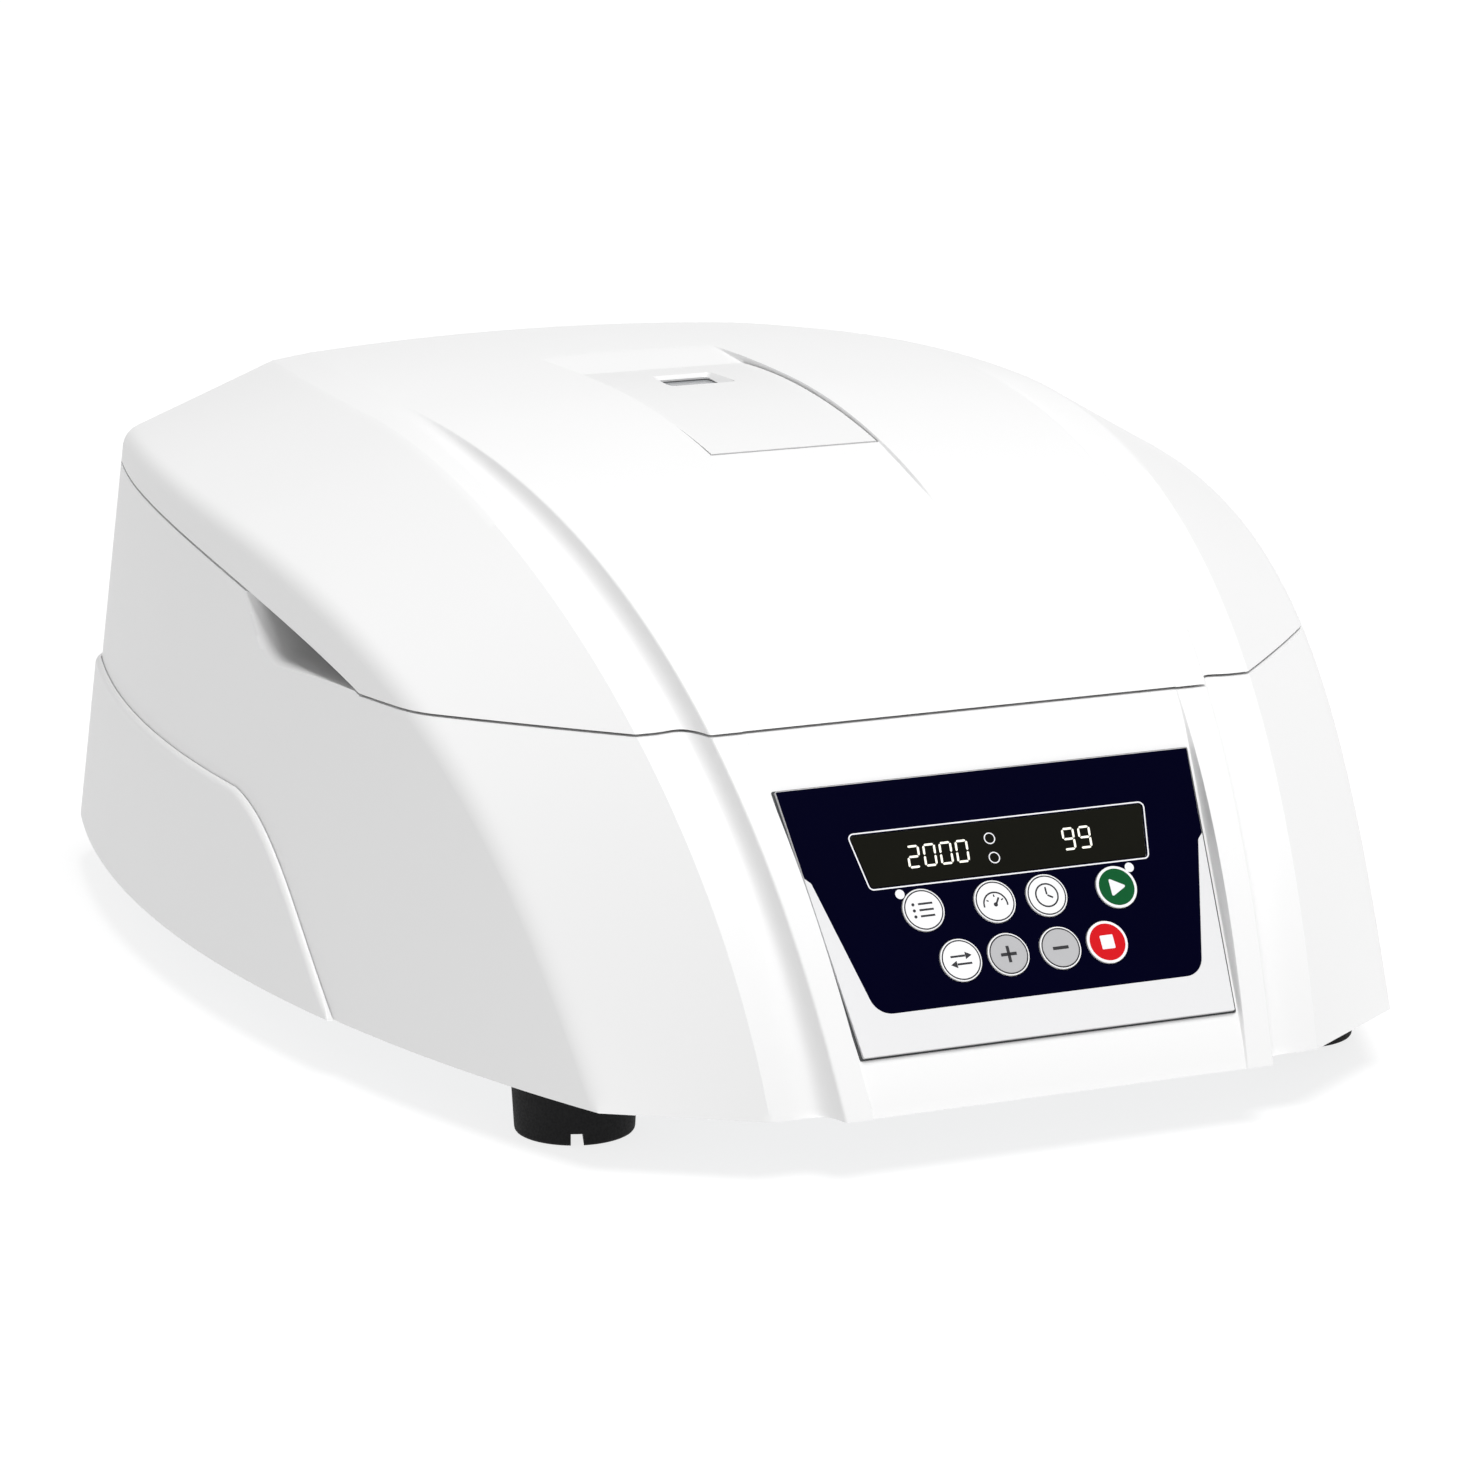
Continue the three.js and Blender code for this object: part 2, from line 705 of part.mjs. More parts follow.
// The hollow that the panel sits in: everything outside one flat floor, between two slanting sides.
function panelHollow(growth, floor) {
  const shape = taper(
    recessFootHalf + growth, recessTopHalf + growth, -recessLow - growth, recessHigh + growth);
  return moved(raised(shape, floor, floor + wall * overrun), panelFrame);
}
const panelFloor = -panelProud;
const panelPocket = moved(
  raised(
    taper(panelFootHalf + panelSlotGap, panelTopHalf + panelSlotGap,
      -panelLow - panelSlotGap, panelLow + panelSlotGap),
    -panelThickness - fitGap, overrun),
  panelFrame);
const panelOpening = moved(
  raised(
    taper(panelFootHalf - panelLedge, panelTopHalf - panelLedge,
      panelLedge - panelLow, panelLow - panelLedge),
    -panelThickness - wall * overrun, overrun),
  panelFrame);
const panelGuard = panelHollow(wall, -panelThickness - fitGap - wall);

// A side view of the lid plate between two heights, with its bow as one quadratic curve.
function bowedSide(half, low, high) {
  const shape = new THREE.Shape();
  shape.moveTo(-half, low);
  shape.quadraticCurveTo(0, low + plateBow * 2, half, low);
  shape.lineTo(half, high);
  shape.quadraticCurveTo(0, high + plateBow * 2, -half, high);
  return shape;
}
const bowedSlab = (half, low, high, plan) =>
  carried(bowedSide(half, low, high), -farX, farX).intersect(raised(plan, -farX, farX));

// The hollow round the lid plate: a bowed floor with a ramp running out to each end.
function plateHollow(growth, drop) {
  const half = plateHalfLength + plateSlotGap * 2;
  const rampRun = dipRampLength * Math.cos(radians(dipRampAngle - plateSlope));
  const rampDrop = dipRampLength * Math.sin(radians(dipRampAngle - plateSlope));
  const riseRun = dipRearLength * Math.cos(radians(dipRearAngle));
  const rise = dipRearLength * Math.sin(radians(dipRearAngle));
  const floor = -plateProud - drop;
  const sideView = new THREE.Shape();
  sideView.moveTo(-half - rampRun - growth, floor - rampDrop);
  sideView.lineTo(-half - growth, floor);
  sideView.quadraticCurveTo(0, floor + plateBow * 2, half + growth, floor);
  sideView.lineTo(half + riseRun + growth, floor + rise);
  sideView.lineTo(half + riseRun + growth, floor + wall * overrun);
  sideView.lineTo(-half - rampRun - growth, floor + wall * overrun);
  const widening = (plateRearHalf - plateFrontHalf) / (2 * plateHalfLength);
  const reach = plateHalfLength + dipRampLength + growth;
  const middle = (plateRearHalf + plateFrontHalf) / 2 + plateSlotGap * 2 + growth;
  const plan = taper(middle - widening * reach, middle + widening * reach, -reach, reach);
  const tall = raised(plan, -farX, farX);
  return moved(carried(sideView, -farX, farX).intersect(tall), plateFrame);
}

// The scoop under each side of the lid, seen from the side and carried out past the wall.
function fingerScoop(side, growth) {
  const shape = outlineOf([
    [fingerFrontY - growth, partingFrontZ + partingGap],
    [fingerFrontY - growth, partingFrontZ - growth],
    [fingerFrontY + fitGap, fingerFloorZ - growth],
    [fingerRearY + growth / 2, fingerFloorZ - growth],
    [fingerRampY + growth, fingerRampZ - growth],
    [fingerEndY + growth, fingerEndZ - growth],
    [fingerEndY + growth, ceilingZ],
    [fingerFrontY - growth, ceilingZ],
  ]);
  const near = fingerHalfSpan - growth;
  return side > 0 ? carried(shape, near, farX) : carried(shape, -farX, -near);
}
const bothSides = [-1, 1];
const scoops = bothSides.map((side) => fingerScoop(side, 0));
const scoopGuards = bothSides.map((side) => fingerScoop(side, wall));

// The inner void stays a wall's thickness below the parting line and round every hollow.
const wellWall = ring(0, wellRadius + wall, deckZ - wall, ceilingZ, 0, axisY);
const housingVoid = cutBy(innerBody, [
  abovePart(-partingGap / 2 - wall), wellWall, panelGuard, ...scoopGuards,
]);
const deckHole = post(
  bowlRadius + bowlThickness + deckHoleGap, deckZ - overrun, ceilingZ, 0, axisY, bowlSides);
const well = post(wellRadius, deckZ, ceilingZ, 0, axisY, bowlSides)
  .intersect(bodyBlock(wall, deckZ - overrun));
const hookSlot = block(-hookHalf - hookSlotRear, hookHalf + hookSlotRear,
  hookY - hookThickness / 2 - hookSlotFront, hookY + hookThickness / 2 + hookSlotRear,
  deckZ - wall, ceilingZ);

// Holes through the rear wall and its cover
const ontoWall = new THREE.Matrix4().makeRotationX(Math.PI / 2);
const throughWall = (shape) =>
  moved(moved(raised(shape, -overrun, wall + overrun), ontoWall), rearFrame);
const inletHole = throughWall(roundedBox(
  inletX - inletHalfWidth - fitGap, inletX + inletHalfWidth + fitGap,
  inletUp - inletHalfHeight - fitGap, inletUp + inletHalfHeight + fitGap, socketCorner));
const switchHole = throughWall(roundedBox(
  switchX - switchHalfWidth - fitGap, switchX + switchHalfWidth + fitGap,
  inletUp - switchHalfHeight - fitGap, inletUp + switchHalfHeight + fitGap, socketCorner / 2));
const vents = Array.from({ length: ventCount }, (_, k) => {
  const x = (k - (ventCount - 1) / 2) * ventPitch;
  return throughWall(roundedBox(
    x - ventWidth / 2, x + ventWidth / 2, ventLow, ventLow + ventLength, ventWidth / 2 - fitGap));
});

piece("main_housing", cutBy(outerBody, [
  abovePart(-partingGap / 2), housingVoid, panelHollow(0, panelFloor), panelPocket, panelOpening,
  ...scoops, deckHole, well, hookSlot, inletHole, switchHole, ...vents,
]), whiteShell);

// Base plate and feet
const farY = rearY + overrun;
piece("base_plate", bodyBlock(wall + fitGap * 2, footHeight).intersect(
  block(-farX, farX, -farY, farY, footHeight - overrun, footHeight + baseThickness)), zincSteel);
function foot(name, x, y) {
  const solid = turned([
    [0, 0], [footBottomRadius - footEdge, 0], [footBottomRadius, footEdge],
    [footTopRadius, footHeight - footEdge], [footTopRadius - footEdge, footHeight - fitGap],
    [0, footHeight - fitGap],
  ], roundSides, x, y);
  const slot = moved(
    block(-footSlot / 2, footSlot / 2, -footTopRadius * 2, footTopRadius * 2, -overrun, footSlot),
    new THREE.Matrix4().makeTranslation(x, y, 0)
      .multiply(new THREE.Matrix4().makeRotationZ(radians(footSlotTurn))));
  piece(name, solid.subtract(slot), blackRubber);
}
const footX = bodyHalfWidth - footInset;
const footFrontY = creaseFootY + footFrontInset;
const footRearY = rearY - footRearInset;
foot("foot_front_left", -footX, footFrontY);
foot("foot_front_right", footX, footFrontY);
foot("foot_rear_left", -footX, footRearY);
foot("foot_rear_right", footX, footRearY);

// Rear cover
const coverSide = new THREE.Shape();
coverSide.moveTo(coverFootY, footHeight - overrun);
coverSide.lineTo(coverFootY, footHeight);
coverSide.bezierCurveTo(
  coverFootPullY, coverFootPullZ, coverTopPullY, coverTopPullZ, coverTopY, coverTopZ);
coverSide.lineTo(farY, coverTopZ);
coverSide.lineTo(farY, footHeight - overrun);
piece("rear_cover", cutBy(
  bodyBlock(-coverProud, footHeight).intersect(carried(coverSide, -farX, farX)),
  [bodyBlock(-fitGap, footHeight - overrun), inletHole, switchHole, ...vents]), whiteShell);

// Control panel
const panel = new THREE.Group();
panel.applyMatrix4(panelFrame);
machine.add(panel);
const filmOutline = (growth) => outlineOf([
  [-filmFootHalf - growth, filmFoot - growth],
  [filmFootHalf + growth, filmFoot - growth],
  [filmFootHalf + filmCorner + growth, filmFoot + filmCorner],
  [filmBendHalf + growth, filmBend],
  [panelTopHalf - fitGap * 2 + growth, filmTop + growth],
  [-panelTopHalf + fitGap * 2 - growth, filmTop + growth],
  [-filmBendHalf - growth, filmBend],
  [-filmFootHalf - filmCorner - growth, filmFoot + filmCorner],
]);
const windowOutline = (growth) =>
  taper(windowFootHalf + growth, windowTopHalf + growth, windowFoot - growth, windowTop + growth);
const keys = [
  ["key_program", programX, keyTopRow, keyWhite],
  ["key_speed", speedX, keyTopRow, keyWhite],
  ["key_time", timeX, keyTopRow, keyWhite],
  ["key_start", startX, keyTopRow, keyGreen],
  ["key_units", unitsX, keyFootRow, keyWhite],
  ["key_plus", plusX, keyFootRow, greyPlastic],
  ["key_minus", minusX, keyFootRow, greyPlastic],
  ["key_stop", stopX, keyFootRow, keyRed],
];
const keyHoles = keys.map(([, x, y]) =>
  post(keyRadius + fitGap, -panelThickness - overrun, overrun, x, y));
const plateBack = -panelThickness;
const boardFace = plateBack - displayDepth - fitGap;
const standoffs = bothSides.flatMap((side) => [standoffFoot, standoffTop].map((y) =>
  post(standoffRadius, boardFace + fitGap, plateBack + fitGap, side * standoffX, y, pinSides)));
piece("control_plate", cutBy(
  joined([raised(taper(panelFootHalf, panelTopHalf, -panelLow, panelLow), plateBack, 0), ...standoffs]),
  [raised(filmOutline(fitGap), -filmThickness - fitGap, overrun),
    raised(windowOutline(0), plateBack - overrun, overrun), ...keyHoles]), whiteTrim, panel);
piece("control_overlay", cutBy(raised(filmOutline(0), -filmThickness, 0),
  [raised(windowOutline(0), -overrun, overrun), ...keyHoles]), navyFilm, panel);
piece("display_lens", raised(windowOutline(-fitGap), -lensThickness - fitGap / 2, -fitGap / 2),
  displayBlack, panel);
piece("display_module", raised(windowOutline(displayMargin), boardFace + fitGap, plateBack - fitGap),
  blackPlastic, panel);
piece("key_board", block(-boardHalf, boardHalf, boardFoot, boardTop,
  boardFace - boardThickness, boardFace), boardGreen, panel);
const flangeFace = plateBack - fitGap;
for (const [name, x, y, material] of keys) {
  const cap = turned([
    [0, flangeFace - keyFlangeThickness], [keyRadius + keyFlange, flangeFace - keyFlangeThickness],
    [keyRadius + keyFlange, flangeFace], [keyRadius, flangeFace],
    [keyRadius, keyProud / 2], [keyRadius - keyProud / 2, keyProud], [0, keyProud],
  ], roundSides, x, y);
  const plunger = post(plungerRadius, boardFace + keyTravel + keySlack, 0, x, y, pinSides);
  piece(name, cap.add(plunger), material, panel);
}

// Chamber
const flangeTopZ = deckZ + fitGap + bowlThickness;
piece("chamber_bowl", turned([
  [bowlHoleRadius, bowlDomeZ], [bowlDomeRadius - bowlThickness, bowlDomeZ],
  [bowlDomeRadius, bowlFloorZ], [bowlRadius + bowlThickness, bowlFloorZ],
  [bowlRadius + bowlThickness, deckZ + fitGap], [bowlRadius + bowlFlange, deckZ + fitGap],
  [bowlRadius + bowlFlange, flangeTopZ], [bowlRadius, flangeTopZ],
  [bowlRadius, bowlFloorZ + bowlThickness], [bowlDomeRadius + bowlThickness, bowlFloorZ + bowlThickness],
  [bowlDomeRadius, bowlDomeZ + bowlThickness], [bowlHoleRadius, bowlDomeZ + bowlThickness],
], bowlSides, 0, axisY), steel);
const sealInner = bowlRadius + (bowlFlange - sealWidth) / 2;
piece("chamber_seal", ring(sealInner, sealInner + sealWidth, flangeTopZ + fitGap,
  flangeTopZ + fitGap + sealHeight, 0, axisY), sealRubber);
const baseTopZ = footHeight + baseThickness;
piece("guard_ring", ring(guardRadius, guardRadius + guardThickness, baseTopZ + fitGap,
  deckZ - wall - fitGap, 0, axisY), zincSteel);

// Motor on three bushes
const bushTopZ = baseTopZ + fitGap + bushHeight;
const bracketZ = bushTopZ + fitGap;
for (let k = 0; k < bushCount; k++) {
  const turn = (2 * Math.PI * k) / bushCount + Math.PI / 2;
  piece(`motor_bush_${k + 1}`, post(bushRadius, baseTopZ + fitGap, bushTopZ,
    bushCircle * Math.cos(turn), axisY + bushCircle * Math.sin(turn), pinSides), blackRubber);
}
const motorZ = bracketZ + bracketThickness + fitGap;
const motorTopZ = motorZ + motorHeight;
piece("motor_bracket", post(bracketRadius, bracketZ, bracketZ + bracketThickness, 0, axisY), zincSteel);
piece("motor_body", turned([
  [0, motorZ], [motorRadius, motorZ], [motorRadius, motorTopZ], [shaftRadius + boreGap, motorTopZ],
  [shaftRadius + boreGap, motorTopZ - shaftSocket], [0, motorTopZ - shaftSocket],
], roundSides, 0, axisY), blackPlastic);

// Rotor
const discTopZ = discFootZ + discThickness;
const shaftTopZ = discTopZ + shaftStub;
piece("motor_shaft", post(shaftRadius, motorTopZ - shaftSocket + fitGap, shaftTopZ,
  0, axisY, pinSides), steel);
const aboutAxis = (turn) =>
  new THREE.Matrix4().makeTranslation(0, axisY, 0).multiply(new THREE.Matrix4().makeRotationZ(turn));
const notch = block(notchInner, discRadius + overrun, -notchHalf, notchHalf,
  discFootZ - overrun, discTopZ + overrun);
const notches = Array.from({ length: notchCount }, (_, k) =>
  moved(notch, aboutAxis((2 * Math.PI * k) / notchCount)));
const boreRadius = shaftRadius + boreGap;
piece("rotor_disc", cutBy(turned([
  [boreRadius, discFootZ - hubDepth], [hubRadius, discFootZ - hubDepth], [hubRadius, discFootZ],
  [discRadius, discFootZ], [discRadius, discTopZ], [boreRadius, discTopZ],
], bowlSides, 0, axisY), notches), aluminium);
const knobZ = discTopZ + fitGap;
piece("rotor_knob", turned([
  [boreRadius, knobZ], [knobFootRadius, knobZ], [knobFootRadius, knobZ + knobHeight / 6],
  [knobWaist, knobZ + knobHeight / 3], [knobRadius, knobZ + knobHeight / 2],
  [knobRadius, knobZ + knobHeight], [0, knobZ + knobHeight],
  [0, shaftTopZ + fitGap], [boreRadius, shaftTopZ + fitGap],
], roundSides, 0, axisY), blackPlastic);

// Six clips with their funnels, each hung on two pins in a notch of the rotor
const clipPinZ = discTopZ + fitGap + pinRadius;
const clipMiddle = clipBack + clipThickness / 2;
const alongPins = new THREE.Matrix4().makeBasis(
  new THREE.Vector3(1, 0, 0), new THREE.Vector3(0, 0, 1), new THREE.Vector3(0, -1, 0));
const hangingPin = moved(post(pinRadius, -clipHalf - pinReach, clipHalf + pinReach,
  clipMiddle, clipPinZ, pinSides), alongPins);
const clipSolid = joined([
  block(clipBack, clipBack + clipThickness, -clipHalf, clipHalf, clipFootZ, clipTopZ),
  ...bothSides.map((side) => {
    const outer = side * clipHalf;
    const inner = side * (clipHalf - clipFlangeThickness);
    return block(clipBack - clipFlange, clipMiddle, Math.min(outer, inner), Math.max(outer, inner),
      clipFootZ, clipTopZ);
  }),
  hangingPin,
]);
const funnelBack = clipBack - fitGap;
const cupCentre = funnelBack - funnelPlate - cupRadius;
const cupTopZ = cupFootZ + cupLength;
const cupInner = cupRadius - cupWall;
const funnelSolid = joined([
  block(funnelBack - funnelPlate, funnelBack, -funnelHalf, funnelHalf, funnelFootZ, funnelTopZ),
  turned([
    [0, cupFootZ - cupRadius / 2], [cupInner / 2, cupFootZ - cupRadius / 2], [cupRadius, cupFootZ],
    [cupRadius, cupTopZ], [cupInner, cupTopZ], [cupInner, cupFootZ + cupWall], [0, cupFootZ],
  ], pinSides, cupCentre, 0),
  block(cupCentre + cupInner + cupWall / 2, funnelBack - funnelPlate / 2, -spoutHalf, spoutHalf,
    cupFootZ - spoutDrop / 2, cupFootZ + spoutDrop),
]);
for (let k = 0; k < carrierCount; k++) {
  const place = aboutAxis((2 * Math.PI * k) / carrierCount);
  piece(`slide_clip_${k + 1}`, moved(clipSolid, place), steel);
  piece(`sample_funnel_${k + 1}`, moved(funnelSolid, place), funnelPlastic);
}

// Lid
const platePlan = (side, end) => taper(
  plateFrontHalf + side, plateRearHalf + side, -plateHalfLength - end, plateHalfLength + end);
const plateBackZ = -plateThickness - fitGap;
const lidPocket = moved(
  bowedSlab(plateHalfLength + plateSlotGap, plateBackZ, wall * overrun,
    platePlan(plateSideGap, plateSlotGap)),
  plateFrame);
const portOutline = (growth) => roundedBox(
  portX - portHalfWidth - growth, portX + portHalfWidth + growth,
  portY - portHalfLength - growth, portY + portHalfLength + growth, portBevel / 2 + fitGap);
const lidPort = moved(raised(portOutline(paneMargin + fitGap), -farX, plateBow), plateFrame);
const lidVoid = cutBy(innerBody, [plateHollow(wall, plateThickness - plateProud + wall + fitGap)]);
piece("lid_shell", cutBy(outerBody.intersect(abovePart(partingGap / 2)), [
  lidVoid, plateHollow(0, 0), lidPocket, lidPort,
]), whiteShell);
const plateHolder = new THREE.Group();
plateHolder.applyMatrix4(plateFrame);
machine.add(plateHolder);
piece("window_plate", bowedSlab(plateHalfLength, -plateThickness, 0, platePlan(0, 0))
  .subtract(raised(portOutline(0), -overrun, overrun)), whiteTrim, plateHolder);
piece("window_pane", bowedSlab(
  plateHalfLength, plateBackZ - paneThickness, plateBackZ, portOutline(paneMargin)),
smokedPane, plateHolder);

const linerSkin = turned([
  [linerInner, linerFlangeZ], [linerOuter, linerFlangeZ], [linerOuter, linerFlangeZ + linerThickness],
  [linerInner + linerThickness, linerFlangeZ + linerThickness], [linerTopRadius, linerTopZ],
  [linerPortRadius, linerTopZ], [linerPortRadius, linerTopZ - linerThickness],
  [linerTopRadius - linerThickness, linerTopZ - linerThickness],
], bowlSides, 0, axisY);
const linerPosts = bothSides.flatMap((side) => bothSides.map((end) =>
  post(linerPostRadius, linerTopZ - linerThickness / 2, ceilingZ,
    side * linerPostReach, axisY + end * linerPostReach, pinSides)));
const underLid = bodyBlock(wall + fitGap, footHeight);
piece("lid_liner", linerSkin.add(joined(linerPosts).intersect(underLid)), whiteTrim);
piece("lid_hook", underLid.intersect(block(-hookHalf, hookHalf,
  hookY - hookThickness / 2, hookY + hookThickness / 2, hookFootZ, ceilingZ))
  .subtract(block(-hookWindowHalf, hookWindowHalf, hookY - hookThickness, hookY + hookThickness,
    hookWindowFootZ, hookWindowTopZ)), steel);

// Lid lock under the front of the housing
const skinFootZ = partingFrontZ - partingGap / 2 - wall - fitGap;
const cheeks = bothSides.map((side) => {
  const inner = side * lockHalf;
  const outer = side * (lockHalf + lockCheek);
  return block(Math.min(inner, outer), Math.max(inner, outer), lockY - lockReach, lockY + lockReach,
    lockZ - lockReach / 2, skinFootZ);
});
const lockTail = lockY + lockReach;
piece("lock_body", joined([
  ...cheeks,
  block(-lockHalf - lockCheek, lockHalf + lockCheek, lockY - lockReach, lockTail,
    skinFootZ - lockPlate, skinFootZ),
  block(-lockHalf, lockHalf, lockTail, lockTail + solenoidLength, lockZ - lockReach / 2,
    lockZ - lockReach / 2 + solenoidHeight),
  block(-lockHalf - lockCheek, lockHalf + lockCheek, lockTail - lockCheek, lockTail + lockCheek,
    lockZ - lockReach / 2, skinFootZ),
  crossBar(lockPin, -lockHalf - lockCheek / 2, lockHalf + lockCheek / 2, lockY, lockZ, pinSides),
]), zincSteel);
const pawlSide = outlineOf([
  [lockY - pawlWidth, lockZ - pawlWidth], [lockY + pawlWidth, lockZ - pawlWidth],
  [lockY + pawlWidth, lockZ + pawlHeight - pawlWidth], [lockY, lockZ + pawlHeight],
  [lockY - pawlNoseReach + pawlWidth, lockZ + pawlHeight],
  [lockY - pawlNoseReach, lockZ + pawlNoseTop], [lockY - pawlNoseReach, lockZ + pawlNoseFoot],
  [lockY - pawlWidth, lockZ + pawlNoseFoot],
]);
piece("lock_pawl", carried(pawlSide, -pawlHalf, pawlHalf).subtract(
  crossBar(lockPin + boreGap, -lockHalf, lockHalf, lockY, lockZ, pinSides)), steel);

// Hinges on the rear wall
const rear = new THREE.Group();
rear.applyMatrix4(rearFrame);
machine.add(rear);
const hingeOut = hingeRadius + hingeWallGap;
const hingeUp = (rimTopZ - footHeight) / Math.cos(radians(draftAngle));
function hingeHalfPiece(name, x, above) {
  const turn = above ? 1 : -1;
  const [lowX, highX] = above ? [fitGap / 2, hingeHalf - fitGap] : [fitGap - hingeHalf, -fitGap / 2];
  const span = (from, to) => [hingeUp + turn * from, hingeUp + turn * to].sort((a, b) => a - b);
  const [leafLow, leafHigh] = span(hingeLeafStart, hingeLeafStart + hingeLeafLength);
  const [webLow, webHigh] = span(hingePin, hingeLeafStart + hingeLeaf);
  const solid = joined([
    block(x - hingeHalf, x + hingeHalf, fitGap, fitGap + hingeLeaf, leafLow, leafHigh),
    block(x + lowX, x + highX, fitGap, hingeOut, webLow, webHigh),
    crossBar(hingeRadius, x + lowX, x + highX, hingeOut, hingeUp),
  ]).subtract(crossBar(
    hingePin + boreGap, x - hingeHalf * 2, x + hingeHalf * 2, hingeOut, hingeUp, pinSides));
  piece(name, solid, zincSteel, rear);
}
for (const side of bothSides) {
  const hand = side < 0 ? "left" : "right";
  hingeHalfPiece(`hinge_bracket_${hand}`, side * hingeX, false);
  hingeHalfPiece(`hinge_arm_${hand}`, side * hingeX, true);
  piece(`hinge_pin_${hand}`, crossBar(hingePin, side * hingeX - hingeHalf - fitGap,
    side * hingeX + hingeHalf + fitGap, hingeOut, hingeUp, pinSides), steel, rear);
}

// Power inlet and switch through the rear wall
const coverFace = coverProud + fitGap;
const upright = (shape, low, high) => moved(raised(shape, -high, -low), ontoWall);
const boxAt = (x, halfWidth, halfHeight, corner) =>
  roundedBox(x - halfWidth, x + halfWidth, inletUp - halfHeight, inletUp + halfHeight, corner);
const inletFace = coverFace + inletFlangeThickness;
const socketFloor = inletFace - socketDepth;
const blade = (x, z) =>
  block(inletX + x - bladeHalf, inletX + x + bladeHalf,
    socketFloor - overrun / 2, socketFloor + bladeLength,
    inletUp + z - bladeHeight, inletUp + z + bladeHeight);
const inletBody = joined([
  upright(boxAt(inletX, inletHalfWidth + inletFlange, inletHalfHeight + inletFlange, socketCorner),
    coverFace, inletFace),
  upright(boxAt(inletX, inletHalfWidth, inletHalfHeight, socketCorner), -inletDepth, coverFace + fitGap),
]).subtract(upright(boxAt(inletX, socketHalfWidth, socketHalfHeight, socketCorner),
  socketFloor, inletFace + overrun));
piece("power_inlet", joined([
  inletBody, blade(-bladeSpread, -bladeHeight / 2), blade(bladeSpread, -bladeHeight / 2),
  blade(0, bladeHeight / 2),
]), blackPlastic, rear);

const rockerFloor = rockerPivot - rockerDepth;
const pivotOut = coverFace - rockerPivot;
piece("switch_frame", joined([
  upright(boxAt(switchX, switchHalfWidth + inletFlange, switchHalfHeight + inletFlange, socketCorner / 2),
    coverFace, inletFace),
  upright(boxAt(switchX, switchHalfWidth, switchHalfHeight, socketCorner / 2),
    -switchDepth, coverFace + fitGap),
]).subtract(upright(
  boxAt(switchX, switchHalfWidth - switchWall, switchHalfHeight - switchWall, socketCorner / 2),
  rockerFloor, inletFace + overrun))
  .subtract(crossBar(rockerPin + boreGap, switchX - switchHalfWidth + fitGap * 2,
    switchX + switchHalfWidth - fitGap * 2, pivotOut, inletUp, pinSides)), blackPlastic, rear);
const rockerSide = outlineOf([
  [-rockerKeel, -rockerEdge], [rockerEdge, -rockerHalfHeight], [rockerCrown, -rockerHalfHeight],
  [rockerSaddle, 0], [rockerCrown, rockerHalfHeight], [rockerEdge, rockerHalfHeight],
  [-rockerKeel, rockerEdge],
]);
const rocker = joined([
  carried(rockerSide, -rockerHalfWidth, rockerHalfWidth),
  crossBar(rockerPin, -switchHalfWidth + switchWall / 2, switchHalfWidth - switchWall / 2, 0, 0, pinSides),
]);
piece("power_rocker", moved(rocker, new THREE.Matrix4().makeTranslation(switchX, pivotOut, inletUp)
  .multiply(new THREE.Matrix4().makeRotationX(radians(-rockerTilt)))), blackPlastic, rear);

// Power board on posts
const boardZ = baseTopZ + fitGap + supplyLift;
const supplyPosts = bothSides.flatMap((side) =>
  [supplyFrontY + supplyInset, supplyRearY - supplyInset].map((y) =>
    post(supplyPost, baseTopZ + fitGap, boardZ + fitGap,
      side * (supplyHalfWidth - supplyInset), y, pinSides)));
const boardTopZ = boardZ + boardThickness;
const coilX = supplyHalfWidth / 2;
const supplyMiddleY = (supplyFrontY + supplyRearY) / 2;
piece("power_board", joined([
  ...supplyPosts,
  block(-supplyHalfWidth, supplyHalfWidth, supplyFrontY, supplyRearY, boardZ, boardTopZ),
  block(coilX - coilHalf, coilX + coilHalf, supplyMiddleY - coilHalf, supplyMiddleY + coilHalf,
    boardTopZ - fitGap, boardTopZ + coilHeight),
  block(-coilX - sinkThickness, -coilX, supplyFrontY + supplyInset, supplyRearY - supplyInset,
    boardTopZ - fitGap, boardTopZ + sinkHeight),
]), boardGreen);

export default machine;
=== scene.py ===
import math
import bmesh
import bpy
import numpy as np
from mathutils import Matrix


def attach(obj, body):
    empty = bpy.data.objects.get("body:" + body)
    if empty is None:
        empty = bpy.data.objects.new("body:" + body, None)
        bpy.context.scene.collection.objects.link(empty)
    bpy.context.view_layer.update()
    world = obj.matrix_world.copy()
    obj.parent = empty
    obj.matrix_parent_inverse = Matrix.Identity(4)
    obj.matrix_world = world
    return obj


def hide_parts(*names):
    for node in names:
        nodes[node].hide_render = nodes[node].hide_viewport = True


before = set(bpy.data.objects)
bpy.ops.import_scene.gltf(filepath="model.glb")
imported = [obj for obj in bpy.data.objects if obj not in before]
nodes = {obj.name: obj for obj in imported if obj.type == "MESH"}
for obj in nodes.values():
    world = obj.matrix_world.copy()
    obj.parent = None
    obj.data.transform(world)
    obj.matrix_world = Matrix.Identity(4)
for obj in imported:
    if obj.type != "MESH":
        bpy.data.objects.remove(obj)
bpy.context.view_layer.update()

mm = 0.001
weld = 1e-4  # points closer than this, in mm, become one
clearance = 0.3  # gap between neighbouring pieces, in mm
overAll = 300  # a height above the whole object, where cuts end

# Geometry helpers: every grid is an array of points in mm


# A smooth step: 3 s^2 - 2 s^3 of the share s between two values.
def smooth(low, high, value):
    share = np.clip((value - low) / (high - low), 0, 1)
    return share * share * (3 - 2 * share)


